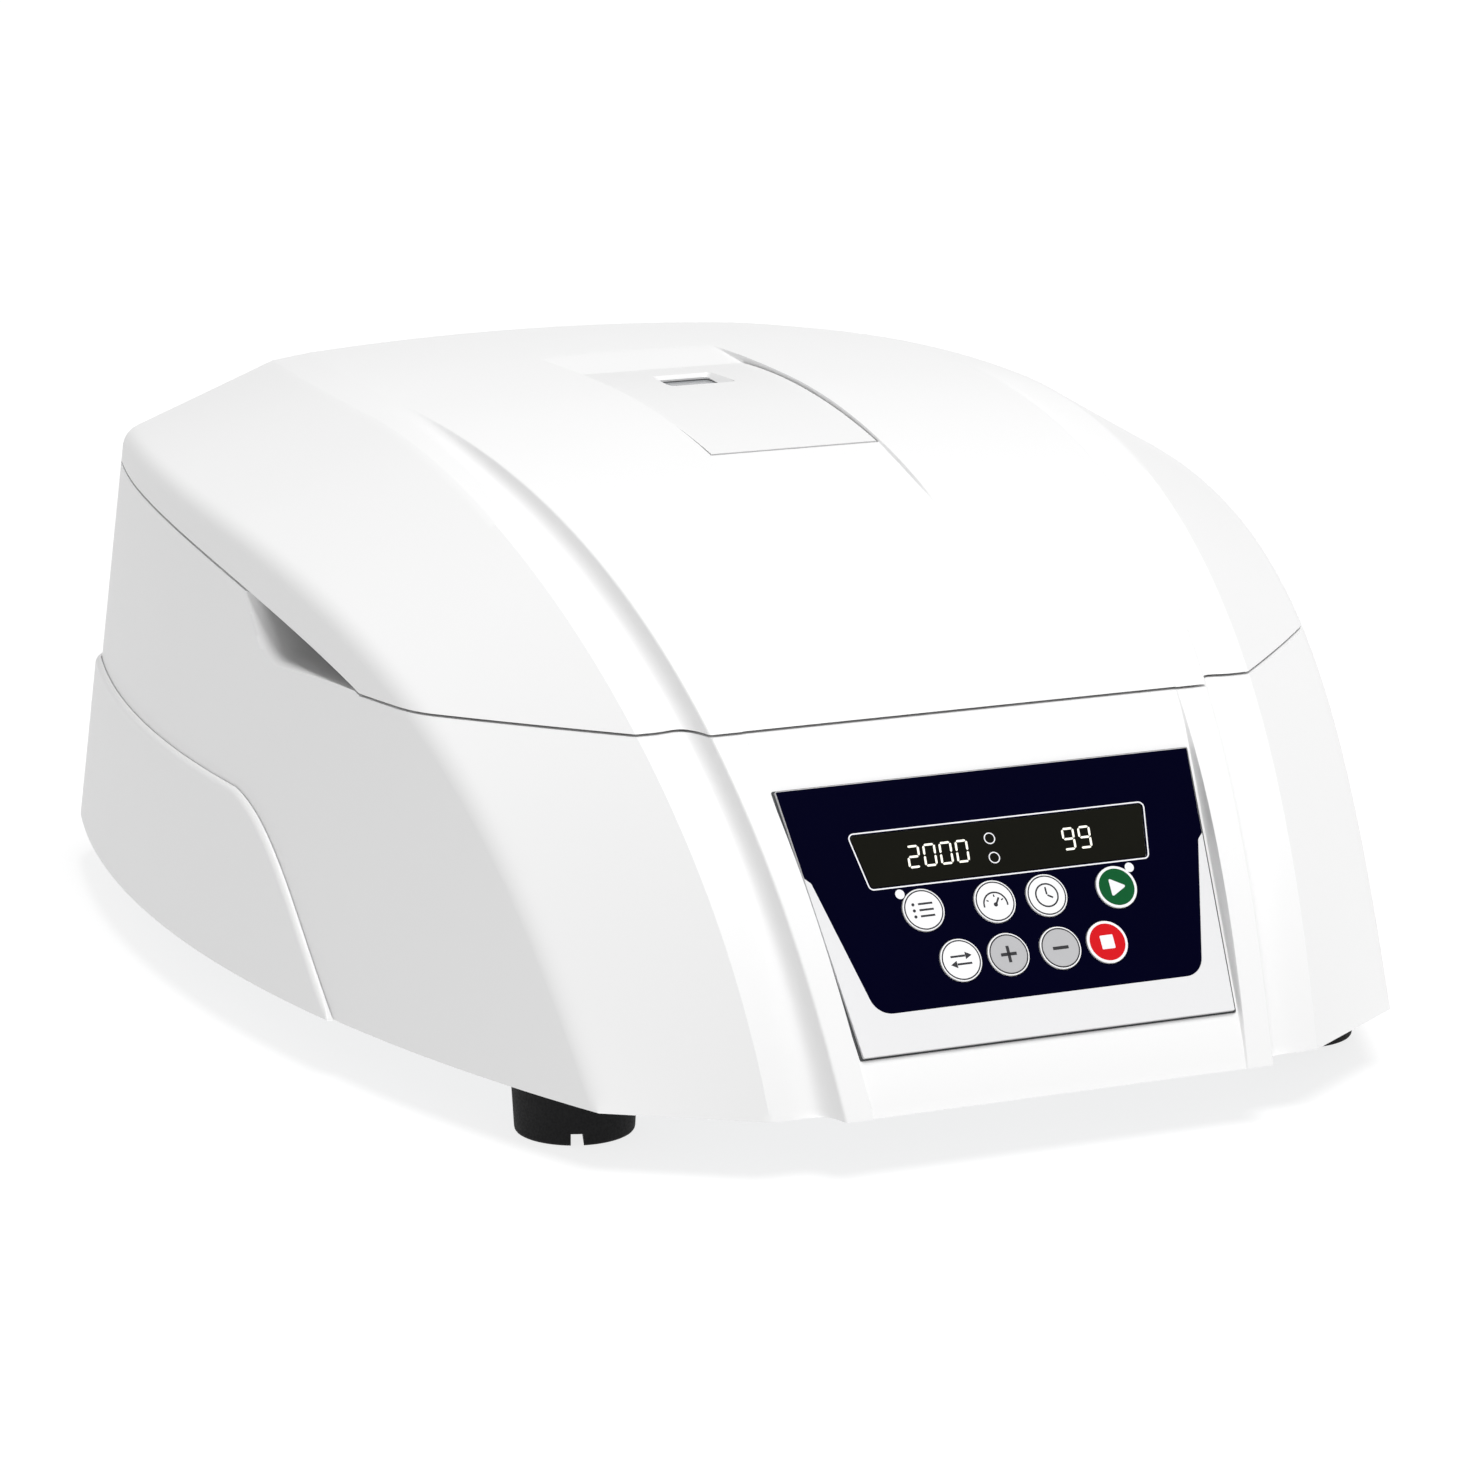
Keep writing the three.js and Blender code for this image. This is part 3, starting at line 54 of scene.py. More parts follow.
# Faces are turned outwards.
def turnOut(mesh):
    work = bmesh.new()
    work.from_mesh(mesh)
    bmesh.ops.recalc_face_normals(work, faces=work.faces)
    work.to_mesh(mesh)
    work.free()


# Each cell of each grid becomes two triangles; equal points are welded and the faces turned outwards.
def solidFrom(name, patches):
    points = np.concatenate([patch.reshape(-1, 3) for patch in patches])
    cells = []
    start = 0
    for patch in patches:
        index = start + np.arange(patch.shape[0] * patch.shape[1]).reshape(patch.shape[:2])
        a, b, c, d = index[:-1, :-1], index[1:, :-1], index[1:, 1:], index[:-1, 1:]
        cells += [np.stack([a, b, c], -1).reshape(-1, 3), np.stack([a, c, d], -1).reshape(-1, 3)]
        start += index.size
    keys = np.round(points / weld).astype(np.int64)
    _, first, place = np.unique(keys, axis=0, return_index=True, return_inverse=True)
    triangles = place.ravel()[np.concatenate(cells)]
    a, b, c = triangles.T
    triangles = triangles[(a != b) & (b != c) & (c != a)]
    mesh = bpy.data.meshes.new(name)
    mesh.from_pydata((points[first] * mm).tolist(), [], triangles.tolist())
    turnOut(mesh)
    made = bpy.data.objects.new(name, mesh)
    bpy.context.scene.collection.objects.link(made)
    return made


# A closed solid between two grids of the same shape: both faces and the four strips round the rim.
def between(name, low, high):
    rims = [(slice(0, 1), slice(None)), (slice(-1, None), slice(None)),
            (slice(None), slice(0, 1)), (slice(None), slice(-1, None))]
    strips = []
    for rim in rims:
        lowRim, highRim = low[rim].reshape(-1, 3), high[rim].reshape(-1, 3)
        strips.append(np.stack([lowRim, highRim]))
    return solidFrom(name, [low, high, *strips])


# Angles of a full turn, the last the same as the first.
def fullTurn(sides):
    turn = np.linspace(0, 2 * np.pi, sides + 1)
    turn[-1] = 0
    return turn


# A profile of [radius, height] points turned about a line up from (x, y).
def turnedGrid(profile, sides, x=0.0, y=0.0):
    profile = np.asarray(profile, float)
    turn = fullTurn(sides)
    radius, height = profile[:, :1], profile[:, 1:]
    return np.stack(np.broadcast_arrays(x + radius * np.cos(turn), y + radius * np.sin(turn), height), -1)


# The solid of a closed profile turned so, set in a frame.
def turned(name, profile, sides=96, x=0.0, y=0.0, matrix=None):
    return solidFrom(name, [inFrame(turnedGrid(np.vstack([profile, profile[:1]]), sides, x, y), matrix)])


# A curve from one point to another, tangent to both sides of their corner, for rounded edges of profiles.
def roundCorner(start, corner, end, steps=6):
    share = np.linspace(0, 1, steps + 1)[:, None]
    start, corner, end = (np.asarray(p, float) for p in (start, corner, end))
    return (1 - share) ** 2 * start + 2 * share * (1 - share) * corner + share ** 2 * end


# A profile whose corners are rounded by the given radius: each corner is cut back and curved.
def softProfile(points, radius, steps=4):
    points = np.asarray(points, float)
    before, after = np.roll(points, 1, 0), np.roll(points, -1, 0)
    parts = []
    for previous, corner, following in zip(before, points, after):
        back, ahead = previous - corner, following - corner
        reach = min(radius, np.linalg.norm(back) * 0.45, np.linalg.norm(ahead) * 0.45)
        if corner[0] <= 0 or reach <= 0:
            parts.append(corner[None])
            continue
        parts.append(roundCorner(corner + back / np.linalg.norm(back) * reach, corner,
                                 corner + ahead / np.linalg.norm(ahead) * reach, steps))
    return np.vstack(parts)


# A closed outline in the plane raised between two heights; its rims are rounded in by bevels.
def raisedGrid(outline, low, high, bevel=0.0, lowBevel=0.0, steps=4):
    outline = np.asarray(outline, float)
    tangent = np.roll(outline, -1, 0) - np.roll(outline, 1, 0)
    normal = np.stack([tangent[:, 1], -tangent[:, 0]], -1)
    normal /= np.linalg.norm(normal, axis=1, keepdims=True)
    middle = outline.mean(0)
    turn = np.linspace(0, np.pi / 2, steps + 1)
    rings = [(lowBevel * (1 - math.sin(t)), low + lowBevel * (1 - math.cos(t))) for t in turn]
    rings += [(bevel * (1 - math.cos(t)), high - bevel + bevel * math.sin(t)) for t in turn]
    loops = [np.broadcast_to([*middle, low], (len(outline), 3))]
    loops += [np.column_stack([outline - normal * inset, np.full(len(outline), z)]) for inset, z in rings]
    loops.append(np.broadcast_to([*middle, high], (len(outline), 3)))
    grid = np.stack(loops)
    return np.concatenate([grid, grid[:, :1]], axis=1)


# The solid of an outline raised so, set in a frame.
def raisedOutline(name, outline, low, high, bevel=0.0, frameMatrix=None):
    return solidFrom(name, [inFrame(raisedGrid(outline, low, high, bevel), frameMatrix)])


# A circle: radius times the cosine and sine of even steps round it.
def circleOutline(radius, x=0.0, y=0.0, sides=64):
    turn = np.linspace(0, 2 * np.pi, sides, endpoint=False)
    return np.column_stack([x + radius * np.cos(turn), y + radius * np.sin(turn)])


# A flat band of even width along a path in the plane, raised between two heights and closed at its ends.
def ribbonGrids(path, width, low, high, closed=False):
    path = np.asarray(path, float)
    if closed:
        path = np.vstack([path, path[:1]])
        along = np.gradient(np.vstack([path[-2], path, path[1]]), axis=0)[1:-1]
        along[-1] = along[0]
    else:
        along = np.gradient(path, axis=0)
    along /= np.linalg.norm(along, axis=1, keepdims=True)
    side = np.stack([-along[:, 1], along[:, 0]], -1) * width / 2
    corners = [(path + side, low), (path - side, low), (path - side, high), (path + side, high)]
    section = np.stack([np.column_stack([points, np.full(len(path), z)]) for points, z in corners], axis=1)
    tube = np.concatenate([section, section[:, :1]], axis=1)
    if closed:
        return [tube]
    ends = [np.stack([section[k, :2], section[k, :1:-1]]) for k in (0, -1)]
    return [tube, *ends]


# Points told in a frame: turned by its axes, then moved by its origin.
def inFrame(grid, matrix):
    if matrix is None:
        return grid
    return grid @ matrix[:3, :3].T + matrix[:3, 3]


# A frame whose X runs across, tilted about X at a point of the middle plane.
def leaning(y, z, degrees):
    turn = math.radians(degrees)
    matrix = np.eye(4)
    matrix[1:3, 1:3] = [[math.cos(turn), -math.sin(turn)], [math.sin(turn), math.cos(turn)]]
    matrix[1:3, 3] = [y, z]
    return matrix


# Corners of an outline, each rounded by its own radius with a curve tangent to both sides.
def roundedOutline(corners, radius, steps=8):
    corners = np.asarray(corners, float)
    radii = np.broadcast_to(radius, (len(corners),))
    parts = []
    for k, corner in enumerate(corners):
        back, ahead = corners[k - 1] - corner, corners[(k + 1) % len(corners)] - corner
        back, ahead = back / np.linalg.norm(back), ahead / np.linalg.norm(ahead)
        opening = math.acos(np.clip(back @ ahead, -1, 1))
        reach = radii[k] / math.tan(opening / 2)
        middle = corner + (back + ahead) / np.linalg.norm(back + ahead) * radii[k] / math.sin(opening / 2)
        first, last = corner + back * reach - middle, corner + ahead * reach - middle
        sweep = math.pi - opening
        turn = np.linspace(0, 1, steps + 1)[:, None] * sweep
        side = math.copysign(1, first[0] * last[1] - first[1] * last[0])
        spin = np.column_stack([np.cos(turn) * first[0] - side * np.sin(turn) * first[1],
                                side * np.sin(turn) * first[0] + np.cos(turn) * first[1]])
        parts.append(middle + spin)
    return np.vstack(parts)


# A rectangle with rounded corners.
def roundedBox(lowX, highX, lowY, highY, radius, steps=6):
    return roundedOutline([(lowX, lowY), (highX, lowY), (highX, highY), (lowX, highY)], radius, steps)


# A trapezium about the middle with rounded corners, told by its half widths low and high.
def roundedTaper(lowHalf, highHalf, low, high, radius, steps=8):
    corners = [(-lowHalf, low), (lowHalf, low), (highHalf, high), (-highHalf, high)]
    return roundedOutline(corners, radius, steps)


# Cuts and joins, all worked out at once and kept as plain mesh.
def shaped(target, cuts=(), common=(), added=()):
    tools = [(tool, "INTERSECT") for tool in common]
    tools += [(tool, "UNION") for tool in added] + [(tool, "DIFFERENCE") for tool in cuts]
    for tool, operation in tools:
        step = target.modifiers.new(operation.lower(), "BOOLEAN")
        step.object = tool
        step.operation = operation
        step.solver = "MANIFOLD"
    bpy.context.view_layer.update()
    graph = bpy.context.evaluated_depsgraph_get()
    mesh = bpy.data.meshes.new_from_object(target.evaluated_get(graph))
    target.modifiers.clear()
    target.data = mesh
    for tool in {tool for tool, _ in tools}:
        bpy.data.objects.remove(tool)
    return target


# A copy with a mesh of its own.
def copied(source, name):
    twin = bpy.data.objects.new(name, source.data.copy())
    bpy.context.scene.collection.objects.link(twin)
    return twin


# Shading: flat faces stay flat, curves stay round, and edges past the angle stay crisp.
def finished(piece, body, material, replaced=(), angle=32):
    mesh = piece.data
    mesh.materials.clear()
    mesh.materials.append(material)
    mesh.polygons.foreach_set("material_index", np.zeros(len(mesh.polygons), np.int32))
    mesh.polygons.foreach_set("use_smooth", np.ones(len(mesh.polygons), bool))
    mesh.set_sharp_from_angle(angle=math.radians(angle))
    weighted = piece.modifiers.new("weighted", "WEIGHTED_NORMAL")
    weighted.keep_sharp = True
    weighted.mode = "FACE_AREA_WITH_ANGLE"
    bpy.context.view_layer.update()
    graph = bpy.context.evaluated_depsgraph_get()
    piece.data = bpy.data.meshes.new_from_object(piece.evaluated_get(graph))
    piece.modifiers.clear()
    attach(piece, body)
    if replaced:
        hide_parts(*replaced)
    return piece


# Materials


# Hex text in sRGB to a linear colour: straight when dark, a power of 2.4 above that.
def linear(hexText):
    channels = np.array([int(hexText[k:k + 2], 16) / 255 for k in (1, 3, 5)])
    low, high = channels / 12.92, ((channels + 0.055) / 1.055) ** 2.4
    return (*np.where(channels <= 0.04045, low, high), 1.0)


# Adds one node: settings are its own properties, links its sockets with a value or another socket.
def addNode(tree, kind, links=None, **settings):
    made = tree.nodes.new(kind)
    for key, value in settings.items():
        setattr(made, key, value)
    for key, value in (links or {}).items():
        if isinstance(value, bpy.types.NodeSocket):
            tree.links.new(value, made.inputs[key])
        else:
            made.inputs[key].default_value = value
    return made


# The base that every finish here shares: a noise in the colour, another in the roughness, and a bump.
# Sizes are in mm. A pattern too fine for the render is drawn as coarse as it needs to show.
def surfaceMaterial(name, colour, colourTwo=None, rough=(0.4, 0.5), patch=40.0, grain=0.8, bump=0.1,
                    depth=0.02, vector=None, **shader):
    material = bpy.data.materials.new(name)
    material.use_nodes = True
    tree = material.node_tree
    tree.nodes.clear()
    place = addNode(tree, "ShaderNodeTexCoord").outputs["Object"]
    if vector:
        place = vector(tree, place)
    broad = addNode(tree, "ShaderNodeTexNoise", {"Vector": place, "Scale": 1 / (patch * mm), "Detail": 4.0})
    fine = addNode(tree, "ShaderNodeTexNoise", {"Vector": place, "Scale": 1 / (grain * mm), "Detail": 2.0})
    tint = addNode(tree, "ShaderNodeMix", {}, data_type="RGBA")
    tree.links.new(broad.outputs["Fac"], tint.inputs[0])
    tint.inputs[6].default_value = linear(colour)
    tint.inputs[7].default_value = linear(colourTwo or colour)
    sheen = addNode(tree, "ShaderNodeMapRange", {"Value": fine.outputs["Fac"], "From Min": 0.3,
                                                 "From Max": 0.7, "To Min": rough[0], "To Max": rough[1]})
    relief = addNode(tree, "ShaderNodeBump", {"Height": fine.outputs["Fac"], "Strength": bump,
                                              "Distance": depth * mm})
    body = addNode(tree, "ShaderNodeBsdfPrincipled", {
        "Base Color": tint.outputs[2], "Roughness": sheen.outputs["Result"],
        "Normal": relief.outputs["Normal"], **shader})
    addNode(tree, "ShaderNodeOutputMaterial", {"Surface": body.outputs["BSDF"]})
    return material


# Round brushing: the pattern's place becomes distance from the axis, height, and a slow run round the turn.
def aroundAxis(axisX, axisY, stretch):
    def vector(tree, place):
        parts = addNode(tree, "ShaderNodeSeparateXYZ", {"Vector": place}).outputs
        across = addNode(tree, "ShaderNodeMath", {0: parts["X"], 1: axisX * mm},
                         operation="SUBTRACT").outputs[0]
        along = addNode(tree, "ShaderNodeMath", {0: parts["Y"], 1: axisY * mm},
                        operation="SUBTRACT").outputs[0]
        flat = addNode(tree, "ShaderNodeCombineXYZ", {"X": across, "Y": along}).outputs[0]
        radius = addNode(tree, "ShaderNodeVectorMath", {0: flat}, operation="LENGTH").outputs["Value"]
        turn = addNode(tree, "ShaderNodeMath", {0: along, 1: across}, operation="ARCTAN2").outputs[0]
        slow = addNode(tree, "ShaderNodeMath", {0: turn, 1: stretch * mm}, operation="MULTIPLY").outputs[0]
        return addNode(tree, "ShaderNodeCombineXYZ", {"X": radius, "Y": slow, "Z": parts["Z"]}).outputs[0]
    return vector


rotorAxisY = 63.0
brushedRound = aroundAxis(0, rotorAxisY, 3)

# Moulded ABS, satin from a fine spark-eroded tool: a soft even white with a faint orange peel.
whiteAbs = surfaceMaterial("moulded_white_abs", "#EEEEEE", "#ECECEC", rough=(0.40, 0.50), patch=90,
                           grain=0.9, bump=0.12, depth=0.03)
# Moulded ABS from a polished tool, a little smoother, for the lid plate and the liner.
whitePolished = surfaceMaterial("polished_white_abs", "#ECECEC", "#EAEAEA", rough=(0.32, 0.40), patch=60,
                                grain=1.4, bump=0.06, depth=0.02)
# The control plate is the same plastic with its white darkened: painted shade for the hollow it sits in.
controlWhitePaintedShade = surfaceMaterial("white_abs_with_painted_shade", "#E3E3E4", "#E0E0E1", rough=(0.34, 0.42), patch=60,
                               grain=1.0, bump=0.06, depth=0.02)
# Reverse-printed polyester film: deep navy under a fine matt grain.
navyFilm = surfaceMaterial("navy_polyester_film", "#00001A", "#000016", rough=(0.34, 0.44), patch=30,
                           grain=0.5, bump=0.08, depth=0.01, **{"Specular IOR Level": 0.02})
# Smoked acrylic over an unlit display: nearly black, glossy.
smokedAcrylic = surfaceMaterial("smoked_acrylic", "#14140E", "#11110C", rough=(0.10, 0.18), patch=30,
                                grain=3, bump=0.03, depth=0.01, **{"Specular IOR Level": 0.1})
# Screen ink: a thick flat white that stands on the film.
whiteInk = surfaceMaterial("white_screen_ink", "#F1F1F4", "#E9E9EE", rough=(0.5, 0.6), patch=8,
                           grain=0.3, bump=0.1, depth=0.01)
# The same ink in near-black, for the signs on white and grey keys.
darkInk = surfaceMaterial("dark_screen_ink", "#1C1C22", "#16161C", rough=(0.5, 0.6), patch=8,
                          grain=0.3, bump=0.1, depth=0.01)
# Light-emitting segments seen through the lens: warm white that glows a little.
litSegment = surfaceMaterial("lit_segment", "#F4F2E6", "#ECEADC", rough=(0.4, 0.5), patch=4, grain=0.6,
                             bump=0.02, depth=0.01, **{"Emission Color": linear("#F4F2E6"),
                                                       "Emission Strength": 0.35})
# Embossed polyester key tops: semi-matt, each colour printed under the film.
keyTops = {
    name: surfaceMaterial(f"{name}_key_film", colour, colourTwo, rough=(0.32, 0.42), patch=10, grain=0.5,
                          bump=0.08, depth=0.01, **{"Specular IOR Level": 0.12})
    for name, colour, colourTwo in (("white", "#F4F4F5", "#EFEFF0"), ("green", "#05592C", "#045328"),
                                    ("red", "#D3121C", "#CC0F18"), ("grey", "#B9B9BB", "#B4B4B6"))}
# Moulded nitrile feet: dull black with a dusty bloom and a coarse mould texture.
footRubber = surfaceMaterial("moulded_black_rubber", "#131314", "#19191A", rough=(0.62, 0.85), patch=14,
                             grain=0.8, bump=0.2, depth=0.04, **{"Specular IOR Level": 0.2})
# Grey rubber, extruded and matt, for the chamber seal, and for the ring in the gap round the control plate,
# where its dark grey is painted shade.
sealRubber = surfaceMaterial("extruded_seal_rubber", "#38393B", "#424446", rough=(0.6, 0.8), patch=20,
                             grain=0.6, bump=0.2, depth=0.04)
# Black ABS for the inlet, switch and rotor knob: satin with a fine grain.
blackAbs = surfaceMaterial("moulded_black_abs", "#1B1B1D", "#222225", rough=(0.38, 0.52), patch=12,
                           grain=0.5, bump=0.2, depth=0.03)
# Deep-drawn stainless bowl, spun-polished round its axis: fine rings and a bright sheen.
spunSteel = surfaceMaterial("spun_stainless_steel", "#C4C6C9", "#B2B5B8", rough=(0.24, 0.4), patch=4,
                            grain=0.5, bump=0.12, depth=0.02, vector=brushedRound, Metallic=1.0)
# Sheet stainless, rolled and tumbled, for clips, hook and pins: an even grey sheen.
sheetSteel = surfaceMaterial("tumbled_stainless_steel", "#BFC2C5", "#ABAEB2", rough=(0.28, 0.42), patch=9,
                             grain=0.5, bump=0.12, depth=0.02, Metallic=1.0)
# Zinc-plated pressed steel: a bluish bloom with cloudy patches.
zincSteel = surfaceMaterial("zinc_plated_steel", "#A6ABB0", "#8F959B", rough=(0.36, 0.56), patch=16,
                            grain=0.8, bump=0.15, depth=0.03, Metallic=1.0)
# Clear-anodised aluminium, turned on a lathe: fine rings and a soft silver sheen.
anodised = surfaceMaterial("anodised_aluminium", "#B9BDC1", "#A9ADB2", rough=(0.3, 0.42), patch=3,
                           grain=0.4, bump=0.15, depth=0.02, vector=brushedRound, Metallic=1.0)
# Stove-enamelled motor can: half-matt black, slightly uneven.
motorEnamel = surfaceMaterial("stoved_black_enamel", "#1A1B1D", "#232427", rough=(0.4, 0.55), patch=10,
                              grain=1.2, bump=0.25, depth=0.05)
# Glass-fibre board under green solder mask: smooth, a little blotched.
solderMask = surfaceMaterial("green_solder_mask", "#1B5937", "#14472B", rough=(0.3, 0.5), patch=5,
                             grain=0.6, bump=0.15, depth=0.03)
# Injection-moulded polypropylene: milky, with light passing a little way in.
milkyPlastic = surfaceMaterial("milky_polypropylene", "#E8ECEC", "#DEE3E3", rough=(0.3, 0.42), patch=12,
                               grain=0.8, bump=0.08, depth=0.02,
                               **{"Subsurface Weight": 0.25, "Subsurface Radius": (0.004, 0.004, 0.004)})
# Tinted acrylic pane over the lid port: grey, glossy, a little cloudy.
greyPane = surfaceMaterial("grey_tinted_acrylic", "#97999B", "#8B8D90", rough=(0.12, 0.2), patch=12,
                           grain=2, bump=0.03, depth=0.01)
print("materials ready")

# Body skin, worked out row by row from front to back and column by column from the middle outwards

draftAngle = 7  # how far the walls lean in, in degrees
skin = {
    "footHeight": 22, "halfWidth": 222.5, "sideArc": 732, "widestY": 67, "rearY": 272.2, "rearCorner": 40,
    "draft": math.tan(math.radians(draftAngle)), "edgeRound": 6, "crown": 3.74, "crownStartY": -137.5,
    "grooveDish": 3.4, "dishScale": 12.2, "fadeFrontY": -40, "fadeRearY": 75, "topY": 50,
    # foot x, y, z, rise angle and reach, then top x, y, z, slope and reach, and the two pulls in x
    "band": (85, -275, 22, 66.9, 161.7, 121, 50, 222, 1.35, 150.2, 98.6, 116.6),
    "groove": (108.9, -264, 22, 70.7, 121, 138, 50, 220.1, 0.69, 162.8, 115.3, 142.8),
    "crease": (0, -230, 22, 57.7, 106.9, 0, 50, 185.2, 3.53, 167.3, 0, 0),
    "rearX": (90, 106, 0), "rearZ": (209.7, 207.8, 184),
    "frontRows": 190, "rearRows": 62, "cornerRows": 14, "roundRows": 9, "wallSteps": 8,
    "lineSoftness": 0.4,  # half width of the rounded step at the side of each hollow
    "edgePasses": 5,  # rounds the band's edge over about a millimetre
}
arcCentreX = skin["halfWidth"] - skin["sideArc"]
cornerY = skin["rearY"] - skin["rearCorner"]
cornerSwing = math.asin((cornerY - skin["widestY"]) / (skin["sideArc"] - skin["rearCorner"]))
cornerX = arcCentreX + (skin["sideArc"] - skin["rearCorner"]) * math.cos(cornerSwing)

panel = {"y": -236.9, "z": 83.4, "tilt": 55.84, "low": 50.6, "topHalf": 82.6, "footHalf": 73.7,
         "thickness": 3.7, "proud": 1.0, "sideSlot": 1.0, "endSlot": 0.6, "ledge": 6,
         "hollowLow": 62, "hollowHigh": 66, "hollowFootHalf": 74.9, "hollowTopHalf": 86.3,
         # sizes of the dark ring in the gap round the plate, which is painted shade
         "shadeRingOut": (0.9, 0.55), "shadeRingIn": (0.1, 0.08), "shadeRingSunk": 0.25,
         "postRadius": 3, "postX": 62, "postUp": (-26, 36)}
plate = {"y": 25.9, "z": 218.8, "tilt": 3.87, "halfLength": 67.3, "rearHalf": 37.2, "frontHalf": 34.7,
         "thickness": 2.4, "proud": 0.4, "slot": 0.5, "rampAngle": 11.13, "rearAngle": 0, "bow": 4.2,
         "sideGap": 0.9, "guardHalves": (39.2, 42.8), "guardEnds": (-130, 120)}
panelFrame = leaning(panel["y"], panel["z"], panel["tilt"])
plateFrame = leaning(plate["y"], plate["z"], plate["tilt"])
rearFrame = leaning(skin["rearY"], skin["footHeight"], draftAngle)


# A cubic curve from its first knot to its last, drawn towards the two between.
def cubic(knots, count):
    t = np.linspace(0, 1, count)[:, None]
    return ((1 - t) ** 3 * knots[0] + 3 * t * (1 - t) ** 2 * knots[1]
            + 3 * t ** 2 * (1 - t) * knots[2] + t ** 3 * knots[3])


# A cubic curve from foot to top in equal steps of its length, with its direction in the side view.
def risingLine(values, shares):
    footX, footY, footZ, angle, reach, topX, topY, topZ, slope, topReach, pullX, topPullX = values
    angle, slope = math.radians(angle), math.radians(slope)
    knots = np.array([
        [footX, footY, footZ],
        [pullX, footY + reach * math.cos(angle), footZ + reach * math.sin(angle)],
        [topPullX, topY - topReach * math.cos(slope), topZ - topReach * math.sin(slope)],
        [topX, topY, topZ]])
    line = cubic(knots, 2001)
    length = np.concatenate([[0], np.cumsum(np.linalg.norm(np.diff(line, axis=0), axis=1))])
    points = np.stack([np.interp(shares * length[-1], length, line[:, k]) for k in range(3)], -1)
    along = np.gradient(points, axis=0)
    along[:, 0] = 0
    along /= np.linalg.norm(along, axis=1, keepdims=True)
    return points, along


# Wall point at a given y and height, and the wall's foot below it: arcs in plan that shrink with the draft.
def wallPoint(y, z, inset, baseZ):
    lean = (z - skin["footHeight"]) * skin["draft"] + inset
    footLean = (baseZ - skin["footHeight"]) * skin["draft"] + inset
    arc, corner = skin["sideArc"] - lean, skin["rearCorner"] - lean
    footArc, footCorner = skin["sideArc"] - footLean, skin["rearCorner"] - footLean
    onArc = y <= skin["widestY"] + arc * math.sin(cornerSwing) + 1e-9
    swing = np.where(onArc, np.arcsin(np.clip((y - skin["widestY"]) / arc, -1, 1)),
                     np.arcsin(np.clip((y - cornerY) / corner, -1, 1)))
    x = np.where(onArc, arcCentreX + arc * np.cos(swing), cornerX + corner * np.cos(swing))
    footX = np.where(onArc, arcCentreX + footArc * np.cos(swing), cornerX + footCorner * np.cos(swing))
    footY = np.where(onArc, skin["widestY"] + footArc * np.sin(swing), cornerY + footCorner * np.sin(swing))
    return np.stack([x, y, z], -1), np.stack([footX, footY, np.full_like(x, baseZ)], -1)


# The three guide lines of every row: band edge, groove and crease. Behind the top each keeps its slope
# and bends down by a square law, and the last rows turn a quarter circle down onto the rear wall.
def guideRows(inset, baseZ, detail):
    rowKeys = ("frontRows", "rearRows", "cornerRows", "roundRows")
    counts = [max(3, round(skin[key] * detail)) for key in rowKeys]
    shares = np.linspace(0, 1, counts[0] + 1)
    straight = np.linspace(0, 1, counts[1] + 1)[1:]
    swings = np.linspace(0, 1, counts[2] + 1)[1:]
    rounds = np.linspace(0, math.pi / 2, counts[3] + 1)[1:]
    lines, inwards = [], []
    for name, rearX, rearZ in zip(("band", "groove", "crease"), skin["rearX"], skin["rearZ"]):
        values = skin[name]
        points, along = risingLine(values, shares)
        inward = np.stack([np.zeros(len(points)), along[:, 2], -along[:, 1]], -1)
        points = points + inward * inset
        points[0] += along[0] * (baseZ - points[0, 2]) / along[0, 2]
        topX, topY, topZ, slope = values[5], values[6], values[7], math.tan(math.radians(values[8]))
        run = skin["rearY"] - topY
        total = len(straight) + len(swings) + len(rounds)
        z = np.full(total, float(rearZ))
        for _ in range(4):
            corner = skin["rearCorner"] - (z - skin["footHeight"]) * skin["draft"] - inset
            first = corner[:len(straight)]
            middle = corner[len(straight):len(straight) + len(swings)]
            last = corner[len(straight) + len(swings):]
            lastSwing = np.arcsin(1 - skin["edgeRound"] / middle)
            y = np.concatenate([
                topY + (cornerY + first * math.sin(cornerSwing) - topY) * straight,
                cornerY + middle * np.sin(cornerSwing + (lastSwing - cornerSwing) * swings),
                cornerY + last - skin["edgeRound"] * (1 - np.sin(rounds))])
            along = y - topY
            z = topZ + slope * along - (slope * run + topZ - rearZ) * (along / run) ** 2 - inset
            z[-len(rounds):] -= skin["edgeRound"] * (1 - np.cos(rounds))
        x = topX + (rearX - topX) * ((y - topY) / run) ** 2
        lines.append(np.vstack([points, np.stack([x, y, z], -1)]))
        down = np.broadcast_to([0.0, 0.0, -1.0], (total, 3))
        inwards.append(np.vstack([inward, down]))
    return lines, inwards[0]


# Points are pushed in to a hollow's floor: by their height above it, softened where it runs out,
# and faded over a narrow strip at its two slanting sides.
def pushIn(points, matrix, halfAt, floorAt, softness):
    local = (points - matrix[:3, 3]) @ matrix[:3, :3]
    depth = local[..., 2] - floorAt(local[..., 1])
    depth = (depth + np.sqrt(depth ** 2 + softness ** 2)) / 2
    half, soft = halfAt(local[..., 1]), skin["lineSoftness"]
    inside = 1 - smooth(half - soft, half + soft, np.abs(local[..., 0]))
    return points - matrix[:3, 2] * (depth * inside)[..., None]


# Half width of the panel's hollow: it widens evenly from foot to top.
def panelHalf(v):
    share = (np.clip(v, -80, 90) + panel["hollowLow"]) / (panel["hollowLow"] + panel["hollowHigh"])
    return panel["hollowFootHalf"] + (panel["hollowTopHalf"] - panel["hollowFootHalf"]) * share


